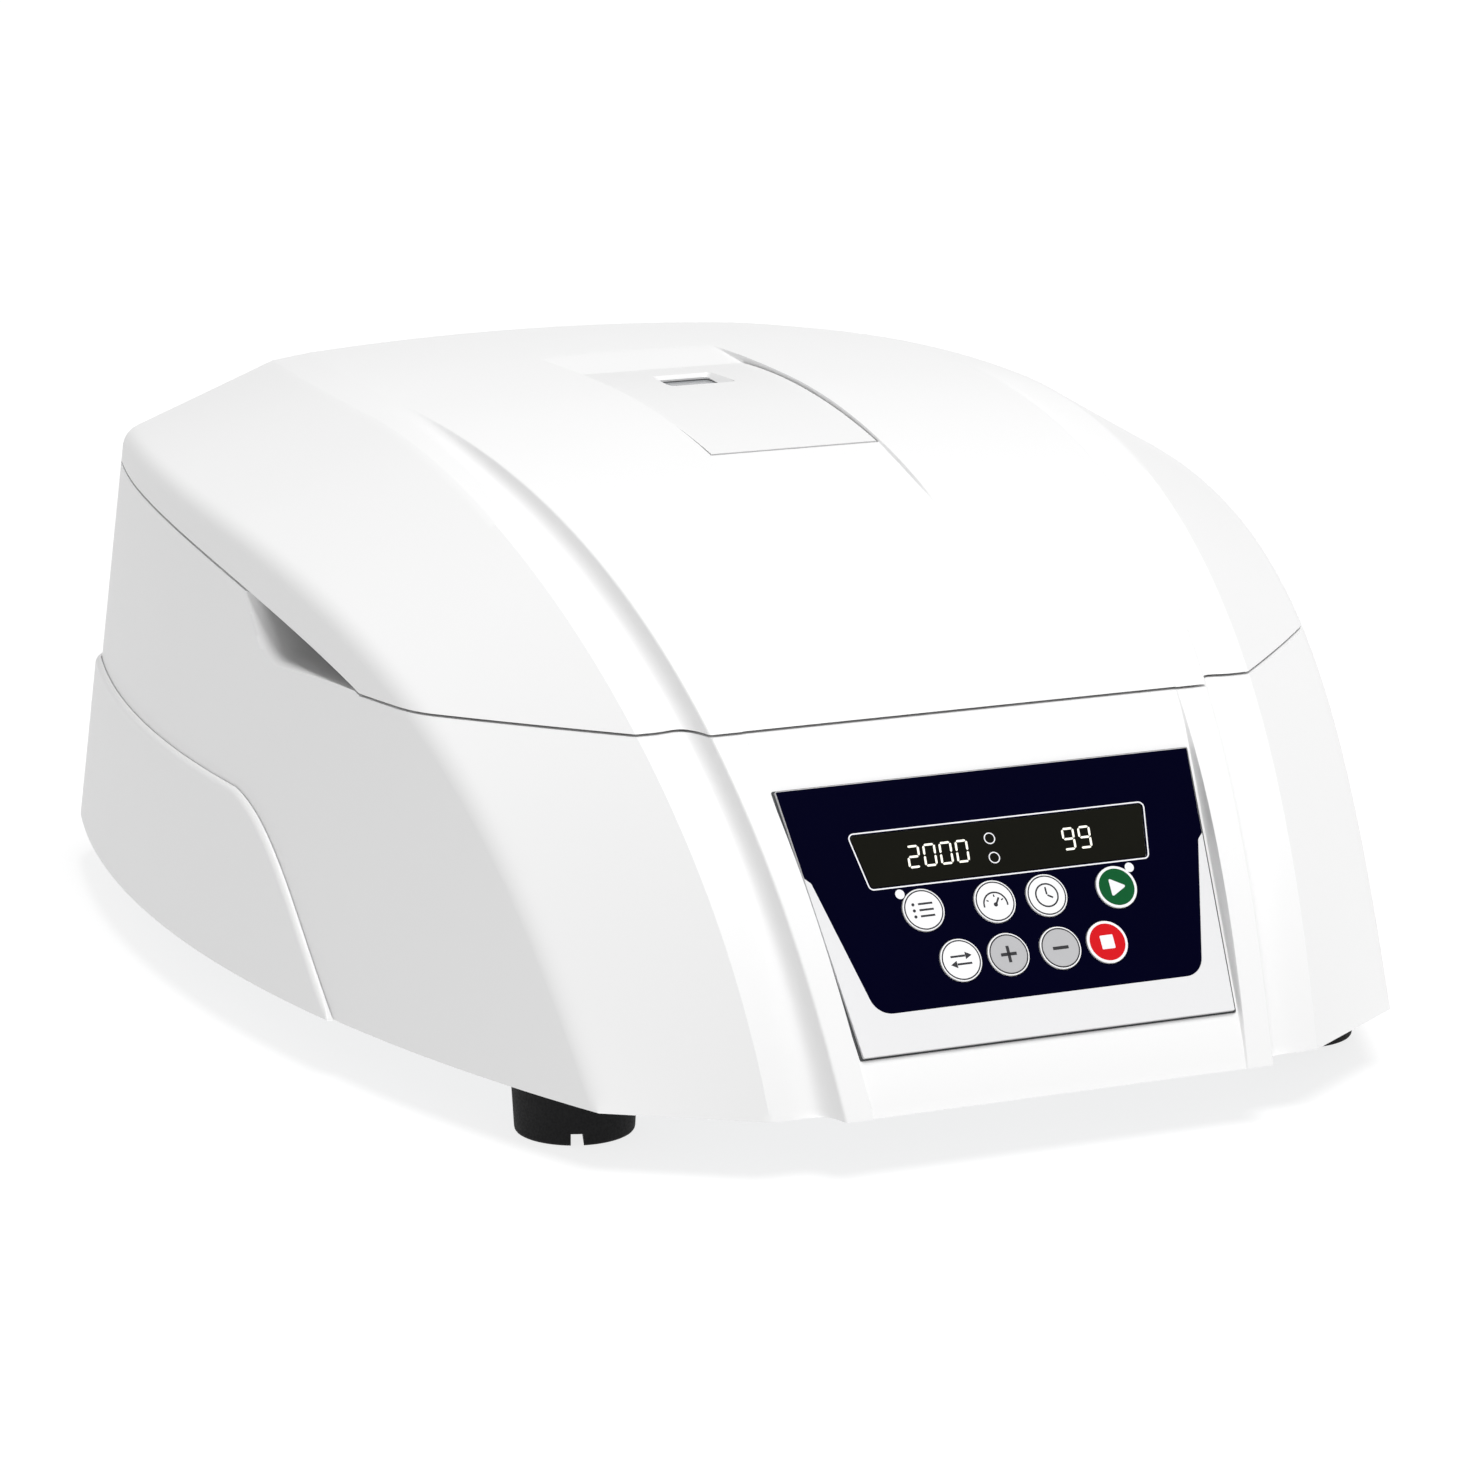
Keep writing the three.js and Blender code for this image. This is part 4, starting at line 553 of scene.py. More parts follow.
# Half width of the lid plate's hollow: it widens evenly from front to rear.
def plateHalf(v):
    widening = (plate["rearHalf"] - plate["frontHalf"]) / (2 * plate["halfLength"])
    middle = (plate["rearHalf"] + plate["frontHalf"]) / 2 + plate["slot"] * 2
    return middle + widening * np.clip(v, -160, 160)


# How far the plate stands above a straight line between its ends: a parabola.
def plateBow(v):
    return plate["bow"] * np.maximum(0, 1 - (v / plate["halfLength"]) ** 2)


# Floor of the plate's hollow: the plate's bow, a little lower, with a slope before and behind it.
def plateFloor(v):
    half = plate["halfLength"] + plate["slot"] * 2
    front = np.maximum(0, -half - v) * math.tan(math.radians(plate["rampAngle"]))
    rear = np.maximum(0, v - half) * math.tan(math.radians(plate["rearAngle"]))
    return plateBow(v) - plate["proud"] - front + rear


# A slab that follows the plate's bow: a tapered plan in rows from front to back, between two heights.
def bowedSlab(name, sideGrowth, endGrowth, low, high, rows=60):
    reach = plate["halfLength"] + endGrowth
    v = np.linspace(-reach, reach, rows)[:, None]
    half = plate["frontHalf"] + (plate["rearHalf"] - plate["frontHalf"]) * (v / plate["halfLength"] + 1) / 2
    x = (half + sideGrowth) * np.linspace(-1, 1, 9)
    bow = plateBow(v)
    layers = [np.stack(np.broadcast_arrays(x, v, bow + height), -1) for height in (low, high)]
    return between(name, *(inFrame(layer, plateFrame) for layer in layers))


# The whole closed body, or one smaller by an inset, standing on baseZ.
def bodyBlock(name, inset, baseZ, detail=1.0, hollows=False):
    (band, groove, crease), inward = guideRows(inset, baseZ, detail)
    band, groove = band - [inset, 0, 0], groove - [inset / 2, 0, 0]
    edgeX = band[:, 0]
    origin, up = panelFrame[:3, 3], panelFrame[:3, 1]
    plateLine = plateHalf((band - plateFrame[:3, 3]) @ plateFrame[:3, 1])
    panelLine = panelHalf((band - origin) @ up)
    soft, reach = skin["lineSoftness"], 4.0
    if hollows:
        dense = np.linspace(-soft, soft, 9)
        plateX, panelX, outerX = plateLine[:, None], panelLine[:, None], edgeX[:, None]
        acrossX = np.concatenate([
            np.linspace(0, 1, 17)[:-1] * (plateX - soft),
            plateX + dense,
            plateX + soft + np.linspace(0, 1, 20)[1:-1] * (panelX - plateX - 2 * soft),
            panelX + dense,
            panelX + soft + np.linspace(0, 1, 9)[1:-1] * (outerX - panelX - soft - reach),
            outerX - np.linspace(reach, 0, 9)], axis=1)
    else:
        acrossX = np.linspace(0, 1, 9) * edgeX[:, None]
    crown = skin["crown"] * smooth(skin["crownStartY"], skin["topY"], band[:, 1])
    lift = crown[:, None] * (1 - (acrossX / edgeX[:, None]) ** 2)
    top = np.stack(np.broadcast_arrays(acrossX, band[:, 1, None], band[:, 2, None]), -1)
    top = top - inward[:, None] * lift[..., None]

    step = 1 - smooth(skin["fadeFrontY"], skin["fadeRearY"], band[:, 1])[:, None]
    # across the groove: a quarter ellipse down from the band's edge, with a dish that is deepest a fifth
    # of the way across, where t (1 - t)^4 times its scale is one
    t = np.linspace(0, 1, 30 if hollows else 8)[1:] ** 2
    drop = (groove - band) * [0, 1, 1]
    fall = np.sqrt(1 - (1 - t) ** 2)[:, None]
    hollow = inward[:, None] * (skin["grooveDish"] * skin["dishScale"] * t * (1 - t) ** 4)[:, None]
    curved = drop[:, None] * fall + hollow
    straight = drop[:, None] * t[:, None]
    sweep = band[:, None] + ((groove - band) * [1, 0, 0])[:, None] * t[:, None]
    sweep = sweep + straight * (1 - step)[..., None] + curved * step[..., None]

    side, foot = wallPoint(crease[:, 1], crease[:, 2], inset, baseZ)
    span = np.linalg.norm(side - groove, axis=1)
    inner = side + (groove - side) * (skin["edgeRound"] / span)[:, None]
    lowered = np.maximum(side[:, 2] - skin["edgeRound"], baseZ)
    share = (lowered - baseZ) / np.maximum(side[:, 2] - baseZ, 1e-3)
    outer = foot + (side - foot) * share[:, None]
    t = np.linspace(0, 1, 22 if hollows else 4)[1:, None]
    shoulder = groove[:, None] + (inner - groove)[:, None] * t
    t = np.linspace(0, 1, 11 if hollows else 4)[1:, None]
    rim = (1 - t) ** 2 * inner[:, None] + 2 * t * (1 - t) * side[:, None] + t ** 2 * outer[:, None]
    half = np.concatenate([top, sweep, shoulder, rim], axis=1)
    if hollows:
        edge = acrossX.shape[1] - 1
        for _ in range(skin["edgePasses"]):
            near = half[:, edge - 7:edge + 8]
            near[:, 1:-1] = (near[:, :-2] + 2 * near[:, 1:-1] + near[:, 2:]) / 4
        half = pushIn(half, panelFrame, panelHalf, lambda v: 0 * v - panel["proud"], 2.4)
        half = pushIn(half, plateFrame, plateHalf, plateFloor, 0.5)
    half[..., 2] = np.maximum(half[..., 2], baseZ)
    half[0, :, 2] = baseZ

    mirror = np.array([-1, 1, 1])
    rows = np.concatenate([half[:, :0:-1] * mirror, half], axis=1)
    down = np.linspace(0, 1, skin["wallSteps"] + 1)[:, None]
    right = outer[:, None] + (foot - outer)[:, None] * down
    rearFootY = skin["rearY"] - inset - (baseZ - skin["footHeight"]) * skin["draft"]
    rearFoot = rows[-1] * [1, 0, 0] + [0, rearFootY, baseZ]
    rearFoot[0], rearFoot[-1] = foot[-1] * mirror, foot[-1]
    rear = rows[-1][:, None] + (rearFoot - rows[-1])[:, None] * down
    acrossShare = rows[0, :, 0] / rows[0, -1, 0]
    floor = np.stack(np.broadcast_arrays(acrossShare * foot[:, :1], foot[:, 1:2], float(baseZ)), -1)
    floor[-1] = rearFoot
    floor = np.concatenate([rows[:1], floor])
    return solidFrom(name, [rows, right, right * mirror, rear, floor])


# Height of the line between lid and body: level, then a curve up from the knee, then level again.
parting = {"frontZ": 143.2, "kneeY": -80, "rise": 0.33, "rearY": 175, "rearZ": 174, "gap": 1.0,
           "reachX": 240, "reachY": 290}


# All that is above that line: the line carried across, then straight up.
def abovePart(name, lift):
    t = np.linspace(0, 1, 70)
    turnY = parting["kneeY"] + (parting["rearZ"] - parting["frontZ"]) / parting["rise"]
    y = (1 - t) ** 2 * parting["kneeY"] + 2 * t * (1 - t) * turnY + t ** 2 * parting["rearY"]
    z = parting["rearZ"] - (parting["rearZ"] - parting["frontZ"]) * (1 - t) ** 2
    y = np.concatenate([[-parting["reachY"]], y, [parting["reachY"]]])
    z = np.concatenate([z[:1], z, z[-1:]]) + lift
    x = np.linspace(-parting["reachX"], parting["reachX"], 3)
    low = np.stack(np.broadcast_arrays(x, y[:, None], z[:, None]), -1)
    high = low.copy()
    high[..., 2] = overAll
    return between(name, low, high)


# A rectangle turned about a line up.
def cylinder(name, radius, low, high, sides=128, y=rotorAxisY, x=0.0):
    return turned(name, [[0, low], [radius, low], [radius, high], [0, high]], sides, x, y)


# A box between two heights, set in a frame.
def boxBlock(name, lowX, highX, lowY, highY, lowZ, highZ, matrix=None):
    x, y = np.meshgrid([lowX, highX], [lowY, highY], indexing="ij")
    faces = [np.stack(np.broadcast_arrays(x, y, float(z)), -1) for z in (lowZ, highZ)]
    return between(name, *(inFrame(face, matrix) for face in faces))


# Finger recess under the lid: its floor line in the side view, carried out through the wall, with its
# rim flared by a quarter round so that the recess runs softly into the wall.
recess = {"frontY": -82, "rearY": 14, "innerX": 176, "outerX": 235, "flare": 9, "wallX": 205.5,
          "floor": ((-82, 144), (-13, 144), (-3, 149), (14, 165.5))}


# The floor line moves along its normal as it runs outwards, and all above it is cut.
def fingerRecess(name, side):
    knots = np.array(recess["floor"], float)
    y = np.linspace(recess["frontY"], recess["rearY"], 90)
    z = np.interp(y, knots[:, 0], knots[:, 1])
    for _ in range(30):
        z[1:-1] = (z[:-2] + 2 * z[1:-1] + z[2:]) / 4
    line = np.stack([y, z], -1)
    along = np.gradient(line, axis=0)
    normal = np.stack([along[:, 1], -along[:, 0]], -1) / np.linalg.norm(along, axis=1, keepdims=True)
    turn = np.linspace(0, math.pi / 2, 9)
    flare = recess["flare"]
    x = np.concatenate([[recess["innerX"]], recess["wallX"] - flare + flare * np.sin(turn),
                        [recess["outerX"]]])
    growth = np.concatenate([[0], flare * (1 - np.cos(turn)), [flare]])
    spread = line[:, None] + normal[:, None] * growth[:, None]
    low = np.stack(np.broadcast_arrays(x * side, spread[..., 0], spread[..., 1]), -1)
    high = low.copy()
    high[..., 2] = overAll
    return between(name, low, high)


# A rounded hole through the rear wall, told across and up.
def throughWall(name, lowX, highX, lowUp, highUp, radius, depth=(-14, 12)):
    outline = roundedBox(lowX, highX, -highUp, -lowUp, radius)
    ontoWall = rearFrame @ np.array([[1, 0, 0, 0], [0, 0, 1, 0], [0, -1, 0, 0], [0, 0, 0, 1.0]])
    return raisedOutline(name, outline, *depth, frameMatrix=ontoWall)


rearFit = {"inletX": 62, "inletUp": 40, "inletHalf": (13.8, 10), "switchX": -62, "switchHalf": (9.5, 13.7),
           "ventCount": 5, "ventPitch": 12, "ventWidth": 4, "ventLow": 24, "ventLength": 34}


# Holes for the inlet, the switch and the vents, the same in the housing and in its cover.
def rearHoles(tag):
    holes = []
    for name, radius in (("inlet", 3), ("switch", 1.5)):
        x, (halfX, halfUp) = rearFit[name + "X"], rearFit[name + "Half"]
        holes.append(throughWall(f"{name}_hole_{tag}", x - halfX - clearance, x + halfX + clearance,
                                 rearFit["inletUp"] - halfUp - clearance,
                                 rearFit["inletUp"] + halfUp + clearance, radius))
    for k in range(rearFit["ventCount"]):
        x, half = (k - (rearFit["ventCount"] - 1) / 2) * rearFit["ventPitch"], rearFit["ventWidth"] / 2
        holes.append(throughWall(f"vent_{k}_{tag}", x - half, x + half, rearFit["ventLow"],
                                 rearFit["ventLow"] + rearFit["ventLength"], half - 0.3))
    return holes


wallThickness = 3.0
chamber = {"deckZ": 138, "wellRadius": 172, "bowlRadius": 149, "bowlThickness": 1.5, "holeGap": 0.8,
           "holeFoot": 133}
hookSlot = {"half": 17, "front": -173, "rear": -160, "foot": 135}
outer = bodyBlock("whole_body", 0, skin["footHeight"], hollows=True)
lid = copied(outer, "lid_cover")
innerBody = bodyBlock("inner_body", wallThickness, skin["footHeight"] - 5, detail=0.3)
innerLid = copied(innerBody, "inner_lid")
print("body skin ready:", len(outer.data.polygons), "faces")

# Guards keep a wall's thickness between the hollow inside and what cuts in from outside.
panelGuard = raisedOutline("panel_guard", roundedTaper(
    panel["hollowFootHalf"] + wallThickness, panel["hollowTopHalf"] + wallThickness,
    -panel["hollowLow"] - wallThickness, panel["hollowHigh"] + wallThickness, 0.5, 2),
    -panel["thickness"] - clearance - wallThickness, 20, frameMatrix=panelFrame)
wellGuard = cylinder("well_guard", chamber["wellRadius"] + wallThickness,
                     chamber["deckZ"] - wallThickness, overAll)
guardNear, guardFar = recess["innerX"] - wallThickness, recess["outerX"] + 5
scoopGuards = [boxBlock(f"scoop_guard_{k}", *sorted((side * guardNear, side * guardFar)),
                        recess["frontY"] - wallThickness, recess["rearY"] + wallThickness,
                        recess["floor"][0][1] - wallThickness, overAll) for k, side in enumerate((-1, 1))]
void = shaped(innerBody, cuts=[abovePart("part_inner", -parting["gap"] / 2 - wallThickness), panelGuard,
                               wellGuard, *scoopGuards])
pocketEnd, openingEnd = panel["low"] + panel["endSlot"], panel["low"] - panel["ledge"]
pocketOutline = roundedTaper(panel["footHalf"] + panel["sideSlot"], panel["topHalf"] + panel["sideSlot"],
                             -pocketEnd, pocketEnd, 0.8)
openingOutline = roundedTaper(panel["footHalf"] - panel["ledge"], panel["topHalf"] - panel["ledge"],
                              -openingEnd, openingEnd, 1)
housing = shaped(outer, cuts=[
    abovePart("part_low", -parting["gap"] / 2), void,
    raisedOutline("panel_pocket", pocketOutline, -panel["thickness"] - clearance, 5, frameMatrix=panelFrame),
    raisedOutline("panel_opening", openingOutline, -24, 5, frameMatrix=panelFrame),
    fingerRecess("recess_left", -1), fingerRecess("recess_right", 1),
    cylinder("deck_hole", chamber["bowlRadius"] + chamber["bowlThickness"] + chamber["holeGap"],
             chamber["holeFoot"], overAll),
    cylinder("well", chamber["wellRadius"], chamber["deckZ"], overAll),
    boxBlock("hook_slot", -hookSlot["half"], hookSlot["half"], hookSlot["front"], hookSlot["rear"],
             hookSlot["foot"], overAll), *rearHoles("housing")])
finished(housing, "root", whiteAbs, ["main_housing"])
housing.name = "main_casing"
print("casing ready:", len(housing.data.polygons), "faces")

plateGuard = raisedOutline("plate_guard", roundedTaper(*plate["guardHalves"], *plate["guardEnds"], 0.5, 2),
                           -plate["thickness"] - clearance - wallThickness, 25, frameMatrix=plateFrame)
port = {"x": 1.5, "y": rotorAxisY - plate["y"], "halfWidth": 13.5, "halfLength": 12, "paneMargin": 4,
        "bevelOut": 0.6, "bevelIn": 2.2}


# The port's outline, grown evenly.
def portOutline(growth):
    halfX, halfY = port["halfWidth"] + growth, port["halfLength"] + growth
    return roundedBox(port["x"] - halfX, port["x"] + halfX, port["y"] - halfY, port["y"] + halfY, 2.0, 5)


lidVoid = shaped(innerLid, cuts=[plateGuard])
lid = shaped(lid, common=[abovePart("part_high", parting["gap"] / 2)], cuts=[
    lidVoid, bowedSlab("lid_pocket", plate["sideGap"], plate["slot"], -plate["thickness"] - clearance, 15),
    raisedOutline("lid_port", portOutline(port["paneMargin"] + clearance), -60, plate["bow"],
                  frameMatrix=plateFrame)])
finished(lid, "lid", whiteAbs, ["lid_shell"])
print("lid ready:", len(lid.data.polygons), "faces")

# Lower rear cover: the wall moved out, its top and its S-shaped front edge rounded over

cover = {"proud": 2.55, "round": 2.2, "topZ": 90,
         "edge": ((-86, 22), (-52, 55), (-28, 86), (8, 90)), "sideColumns": 120, "cornerColumns": 36,
         "rearColumns": 30, "rows": 16, "roundRows": 8}


# Height and slope of the cover's edge at a given y, from a cubic curve in the side view.
def coverTop(y):
    line = cubic(np.array(cover["edge"], float), 400)
    slope = np.gradient(line[:, 1], line[:, 0])
    return np.interp(y, line[:, 0], line[:, 1]), np.interp(y, line[:, 0], slope)


# The plan outline by a share round the perimeter: side arc, corner arc, then half of the straight rear.
def coverPoint(stage, share, z, out):
    lean = (z - skin["footHeight"]) * skin["draft"] - out
    arc, corner = skin["sideArc"] - lean, skin["rearCorner"] - lean
    if stage == "side":
        frontSwing = math.asin((cover["edge"][0][0] - skin["widestY"])
                               / (skin["sideArc"] + cover["proud"]))
        swing = frontSwing + (cornerSwing - frontSwing) * share
        return arcCentreX + arc * np.cos(swing), skin["widestY"] + arc * np.sin(swing)
    if stage == "corner":
        swing = cornerSwing + (math.pi / 2 - cornerSwing) * share
        return cornerX + corner * np.cos(swing), cornerY + corner * np.sin(swing)
    return cornerX * (1 - share), cornerY + corner


# Each column climbs from the foot to the edge's height, and a quarter round takes it in at the top.
def rearCover():
    length = np.linspace(0, 1, cover["sideColumns"] + 1)
    stages = [("side", length), ("corner", np.linspace(0, 1, cover["cornerColumns"] + 1)[1:]),
              ("rear", np.linspace(0, 1, cover["rearColumns"] + 1)[1:])]
    lower = np.linspace(0, 1, cover["rows"])
    turn = np.linspace(0, math.pi / 2, cover["roundRows"] + 1)[1:]
    outerParts, innerParts = [], []
    for stage, share in stages:
        top = np.full(len(share), float(cover["topZ"]))
        for _ in range(4):
            _, y = coverPoint(stage, share, top, cover["proud"])
            top, slope = coverTop(y)
        tilt = 1 / np.sqrt(1 + slope ** 2)
        height = top - skin["footHeight"]
        radius = np.minimum(cover["round"], height * tilt * 0.5)
        z = np.concatenate([skin["footHeight"] + (height - radius / tilt)[:, None] * lower,
                            top[:, None] - (radius / tilt)[:, None] * (1 - np.sin(turn))], axis=1)
        out = np.concatenate([np.full((len(share), len(lower)), cover["proud"]),
                              cover["proud"] - radius[:, None] * (1 - np.cos(turn))], axis=1)
        for parts, offset in ((outerParts, out), (innerParts, np.full_like(out, clearance))):
            x, y = coverPoint(stage, share[:, None], z, offset)
            parts.append(np.stack(np.broadcast_arrays(x, y, z), -1))
    mirror = np.array([-1, 1, 1])
    grids = []
    for parts in (innerParts, outerParts):
        half = np.vstack(parts)
        grids.append(np.vstack([half, half[-2::-1] * mirror]))
    return shaped(between("rear_lower_cover", *grids), cuts=rearHoles("cover"))


finished(rearCover(), "root", whiteAbs, ["rear_cover"])
print("rear cover ready")

# Feet

feet = {"x": 148, "y": (-178.5, 212), "topRadius": 23, "footRadius": 21.8, "edge": 1.5, "slot": 4.7,
        "slotReach": 40, "slotTurn": -19.4}
for endY, endName in zip(feet["y"], ("front", "rear")):
    for side, sideName in ((-1, "left"), (1, "right")):
        x, top = side * feet["x"], skin["footHeight"] - clearance
        shape = softProfile([[0, 0], [feet["footRadius"], 0], [feet["topRadius"], top], [0, top]],
                            feet["edge"])
        foot = turned(f"rubber_foot_{endName}_{sideName}", shape, 72, x, endY)
        half = feet["slot"] / 2
        turn = np.array(Matrix.Translation((x, endY, 0))
                        @ Matrix.Rotation(math.radians(feet["slotTurn"]), 4, "Z"))
        slot = boxBlock("foot_slot", -half, half, -feet["slotReach"], feet["slotReach"], -5, feet["slot"],
                        turn)
        finished(shaped(foot, cuts=[slot]), "root", footRubber,
                 [f"foot_{endName}_{sideName}"])

# Control panel: plate, printed film, lens and keys, told across, up the slope and out of it

film = {"thickness": 0.6, "gap": 0.1, "foot": -35.8, "footHalf": 64.4, "bend": 15.0, "bendHalf": 77.3,
        "notch": 17.2, "notchHalf": 79.5, "top": 50.3, "topHalf": 82.4, "footRadius": 8, "bendRadius": 1.6,
        "notchRadius": 1.0}
window = {"foot": 10.8, "top": 31, "footHalf": 55, "topHalf": 58.7, "radius": 1.3, "line": 0.5,
          "lensTop": -0.15, "lensFoot": -3.15}
keyShape = {"radius": 8, "proud": 0.5, "flange": 9, "flangeTop": -4, "flangeFoot": -5,
            "plunger": 3, "plungerFoot": -7.3, "face": 7.0, "line": 0.5, "ink": 0.04}
keyRows = {"top": 0.5, "foot": -19.6}
keyPlan = [("program", -37.4, "top", "white"), ("speed", -9.2, "top", "white"),
           ("time", 11.5, "top", "white"), ("start", 39.7, "top", "green"),
           ("units", -27.9, "foot", "white"), ("plus", -9.1, "foot", "grey"),
           ("minus", 11.6, "foot", "grey"), ("stop", 30.4, "foot", "red")]
inkHeights = (-0.02, 0.05)  # a print reaches from just inside a face to just above it


# Four corners on the right and their mirror images, each moved out by the growth.
def filmOutline(growth):
    right = [(film["footHalf"], film["foot"]), (film["bendHalf"], film["bend"]),
             (film["notchHalf"], film["notch"]), (film["topHalf"], film["top"])]
    corners = right + [(-x, up) for x, up in right[::-1]]
    middle = np.array([0, (film["foot"] + film["top"]) / 2])
    corners = [np.array(c) + np.sign(np.array(c) - middle) * growth for c in corners]
    radii = [film["footRadius"], film["bendRadius"], film["notchRadius"], 0.4]
    return roundedOutline(corners, radii + radii[::-1], 10)


# The display window's outline, grown evenly.
def windowOutline(growth):
    return roundedTaper(window["footHalf"] + growth, window["topHalf"] + growth, window["foot"] - growth,
                        window["top"] + growth, window["radius"] + growth, 6)


# A round hole for each key, with its clearance.
def keyHoles(tag):
    radius = keyShape["radius"] + clearance
    return [raisedOutline(f"{key}_hole_{tag}", circleOutline(radius, x, keyRows[row]), -12, 6,
                          frameMatrix=panelFrame) for key, x, row, _ in keyPlan]


# Each piece is an outline raised between two heights, told from the panel's face.
def controlPanel():
    back = -panel["thickness"]
    outline = roundedTaper(panel["footHalf"], panel["topHalf"], -panel["low"], panel["low"], 0.5)
    facePlate = raisedOutline("control_face_plate", outline, back, 0, 0.15, panelFrame)
    posts = [raisedOutline("post", circleOutline(panel["postRadius"], side * panel["postX"], up, 32),
                           back - 4, back + 0.3, 0, panelFrame)
             for side in (-1, 1) for up in panel["postUp"]]
    cuts = [raisedOutline("film_pocket", filmOutline(film["gap"]), -film["thickness"] - film["gap"], 4, 0,
                          panelFrame),
            raisedOutline("window_hole", windowOutline(0.05), back - 5, 4, 0, panelFrame)]
    shaped(facePlate, added=posts)
    # the plate's darker white is painted shade
    finished(shaped(facePlate, cuts=cuts + keyHoles("plate")), "root", controlWhitePaintedShade,
             ["control_plate"])
    # a ring of dark grey rubber fills the gap round the plate, a little below the casing's face: painted
    # shade for the gap's shadow
    rims = [roundedTaper(panel["footHalf"] + across, panel["topHalf"] + across, -panel["low"] - along,
                         panel["low"] + along, 0.6)
            for across, along in (panel["shadeRingOut"], panel["shadeRingIn"])]
    shadeRing = raisedOutline("panel_gap_shade_ring", rims[0], back, -panel["proud"] - panel["shadeRingSunk"], 0,
                           panelFrame)
    middle = raisedOutline("shade_ring_middle", rims[1], back - 5, 5, 0, panelFrame)
    finished(shaped(shadeRing, cuts=[middle]), "root", sealRubber)
    sheet = raisedOutline("printed_panel_film", filmOutline(0), -film["thickness"], 0, 0.12, panelFrame)
    opening = raisedOutline("film_window", windowOutline(0.05), -5, 5, 0, panelFrame)
    finished(shaped(sheet, cuts=[opening] + keyHoles("film")), "root", navyFilm,
             ["control_overlay"])
    lens = raisedOutline("display_window_lens", windowOutline(-0.1), window["lensFoot"], window["lensTop"],
                         0.3, panelFrame)
    finished(lens, "root", smokedAcrylic, ["display_lens"])


# A print is a thin solid that rides with the piece under it.
def printed(name, grids, body, material, matrix=panelFrame):
    return finished(solidFrom(name, [inFrame(grid, matrix) for grid in grids]), body, material)


# Points on an arc between two angles in degrees.
def arc(radius, start, end, x=0.0, y=0.0, steps=24):
    turn = np.radians(np.linspace(start, end, steps))
    return np.column_stack([x + radius * np.cos(turn), y + radius * np.sin(turn)])


# A path straight from point to point.
def line(*points):
    return np.array(points, float)


# Marks of each key: lines as (path, width), filled outlines, and the radii of closed rings. They are a
# list, a gauge, a clock, a start triangle, a pair of arrows, a plus, a minus and a stop square.
def keyMarks(key):
    if key == "program":
        rows = [(line((-1.7, up), (3.9, up)), 0.75) for up in (2.3, 0, -2.3)]
        return rows, [circleOutline(0.6, -3.7, up, 16) for up in (2.3, 0, -2.3)], []
    if key == "speed":
        ticks = []
        for turn in np.radians((30, 90, 150)):
            along = np.array([math.cos(turn), math.sin(turn)])
            ticks.append((line(along * 2.9 - [0, 1.2], along * 3.8 - [0, 1.2]), 0.5))
        return [(arc(4.6, -8, 188, 0, -1.2), 0.6), (line((0.3, -0.9), (1.7, 1.3)), 0.7), *ticks], \
               [circleOutline(0.8, 0, -1.2, 20)], []
    if key == "time":
        return [(line((0, 0.3), (0, 3.1)), 0.65), (line((0.2, 0), (2.2, -1.1)), 0.65)], [], [4.3]
    if key == "start":
        return [], [roundedOutline([(-2.6, -3.5), (3.8, 0), (-2.6, 3.5)], 0.5, 4)], []
    if key == "units":
        heads = [np.array([(1.9, 0.1), (4.4, 1.5), (1.9, 2.9)]) * sign for sign in (1, -1)]
        return [(line((-3.9, 1.5), (1.8, 1.5)), 0.75), (line((3.9, -1.5), (-1.8, -1.5)), 0.75)], heads, []
    if key == "plus":
        return [(line((-3.1, 0), (3.1, 0)), 1.2), (line((0, -3.1), (0, 3.1)), 1.2)], [], []
    if key == "minus":
        return [(line((-3.1, 0), (3.1, 0)), 1.2)], [], []
    return [], [roundedBox(-2.6, 2.6, -2.6, 2.6, 0.4, 4)], []


# Each key is a turned cap, with a disc of its colour and its marks printed on top.
def keyPieces():
    high, ink = keyShape["proud"], keyShape["ink"]
    for key, x, row, colour in keyPlan:
        y, body, plain = keyRows[row], f"{key}_key", colour in ("white", "grey")
        profile = [[0, keyShape["plungerFoot"]], [keyShape["plunger"], keyShape["plungerFoot"]],
                   [keyShape["plunger"], keyShape["flangeFoot"]],
                   [keyShape["flange"], keyShape["flangeFoot"]],
                   [keyShape["flange"], keyShape["flangeTop"]], [keyShape["radius"], keyShape["flangeTop"]],
                   [keyShape["radius"], high], [0, high]]
        cap = turned(f"key_{key}_cap", softProfile(profile, 0.2), 72, x, y, panelFrame)
        finished(cap, body, keyTops["white"], [f"key_{key}"])
        face = raisedGrid(circleOutline(keyShape["face"], x, y), high - 0.1, high + ink, 0.03)
        printed(f"key_{key}_face", [face], body, keyTops[colour])
        lines, fills, rings = keyMarks(key)
        low, top = high + ink - 0.02, high + 2 * ink
        grids = []
        for radius in rings:
            grids += ribbonGrids(arc(radius, 0, 354, x, y, 60), 0.6, low, top, closed=True)
        if plain:
            middle = keyShape["face"] + keyShape["line"] / 2
            grids += ribbonGrids(arc(middle, 0, 354, x, y, 60), keyShape["line"], high - 0.02, high + ink,
                                 closed=True)
        for path, width in lines:
            grids += ribbonGrids(path + [x, y], width, low, top)
        grids += [raisedGrid(np.asarray(fill) + [x, y], low, top) for fill in fills]
        printed(f"key_{key}_print", grids, body, darkInk if plain else whiteInk)


# Seven bars of a digit, told from its middle; each bar is pointed at both ends.
digit = {"halfWidth": 2.1, "halfHeight": 3.9, "bar": 0.8, "gap": 0.2, "slant": 0.09, "up": 20.8}
digitBars = {"0": "abcdef", "2": "abged", "9": "abcdfg"}


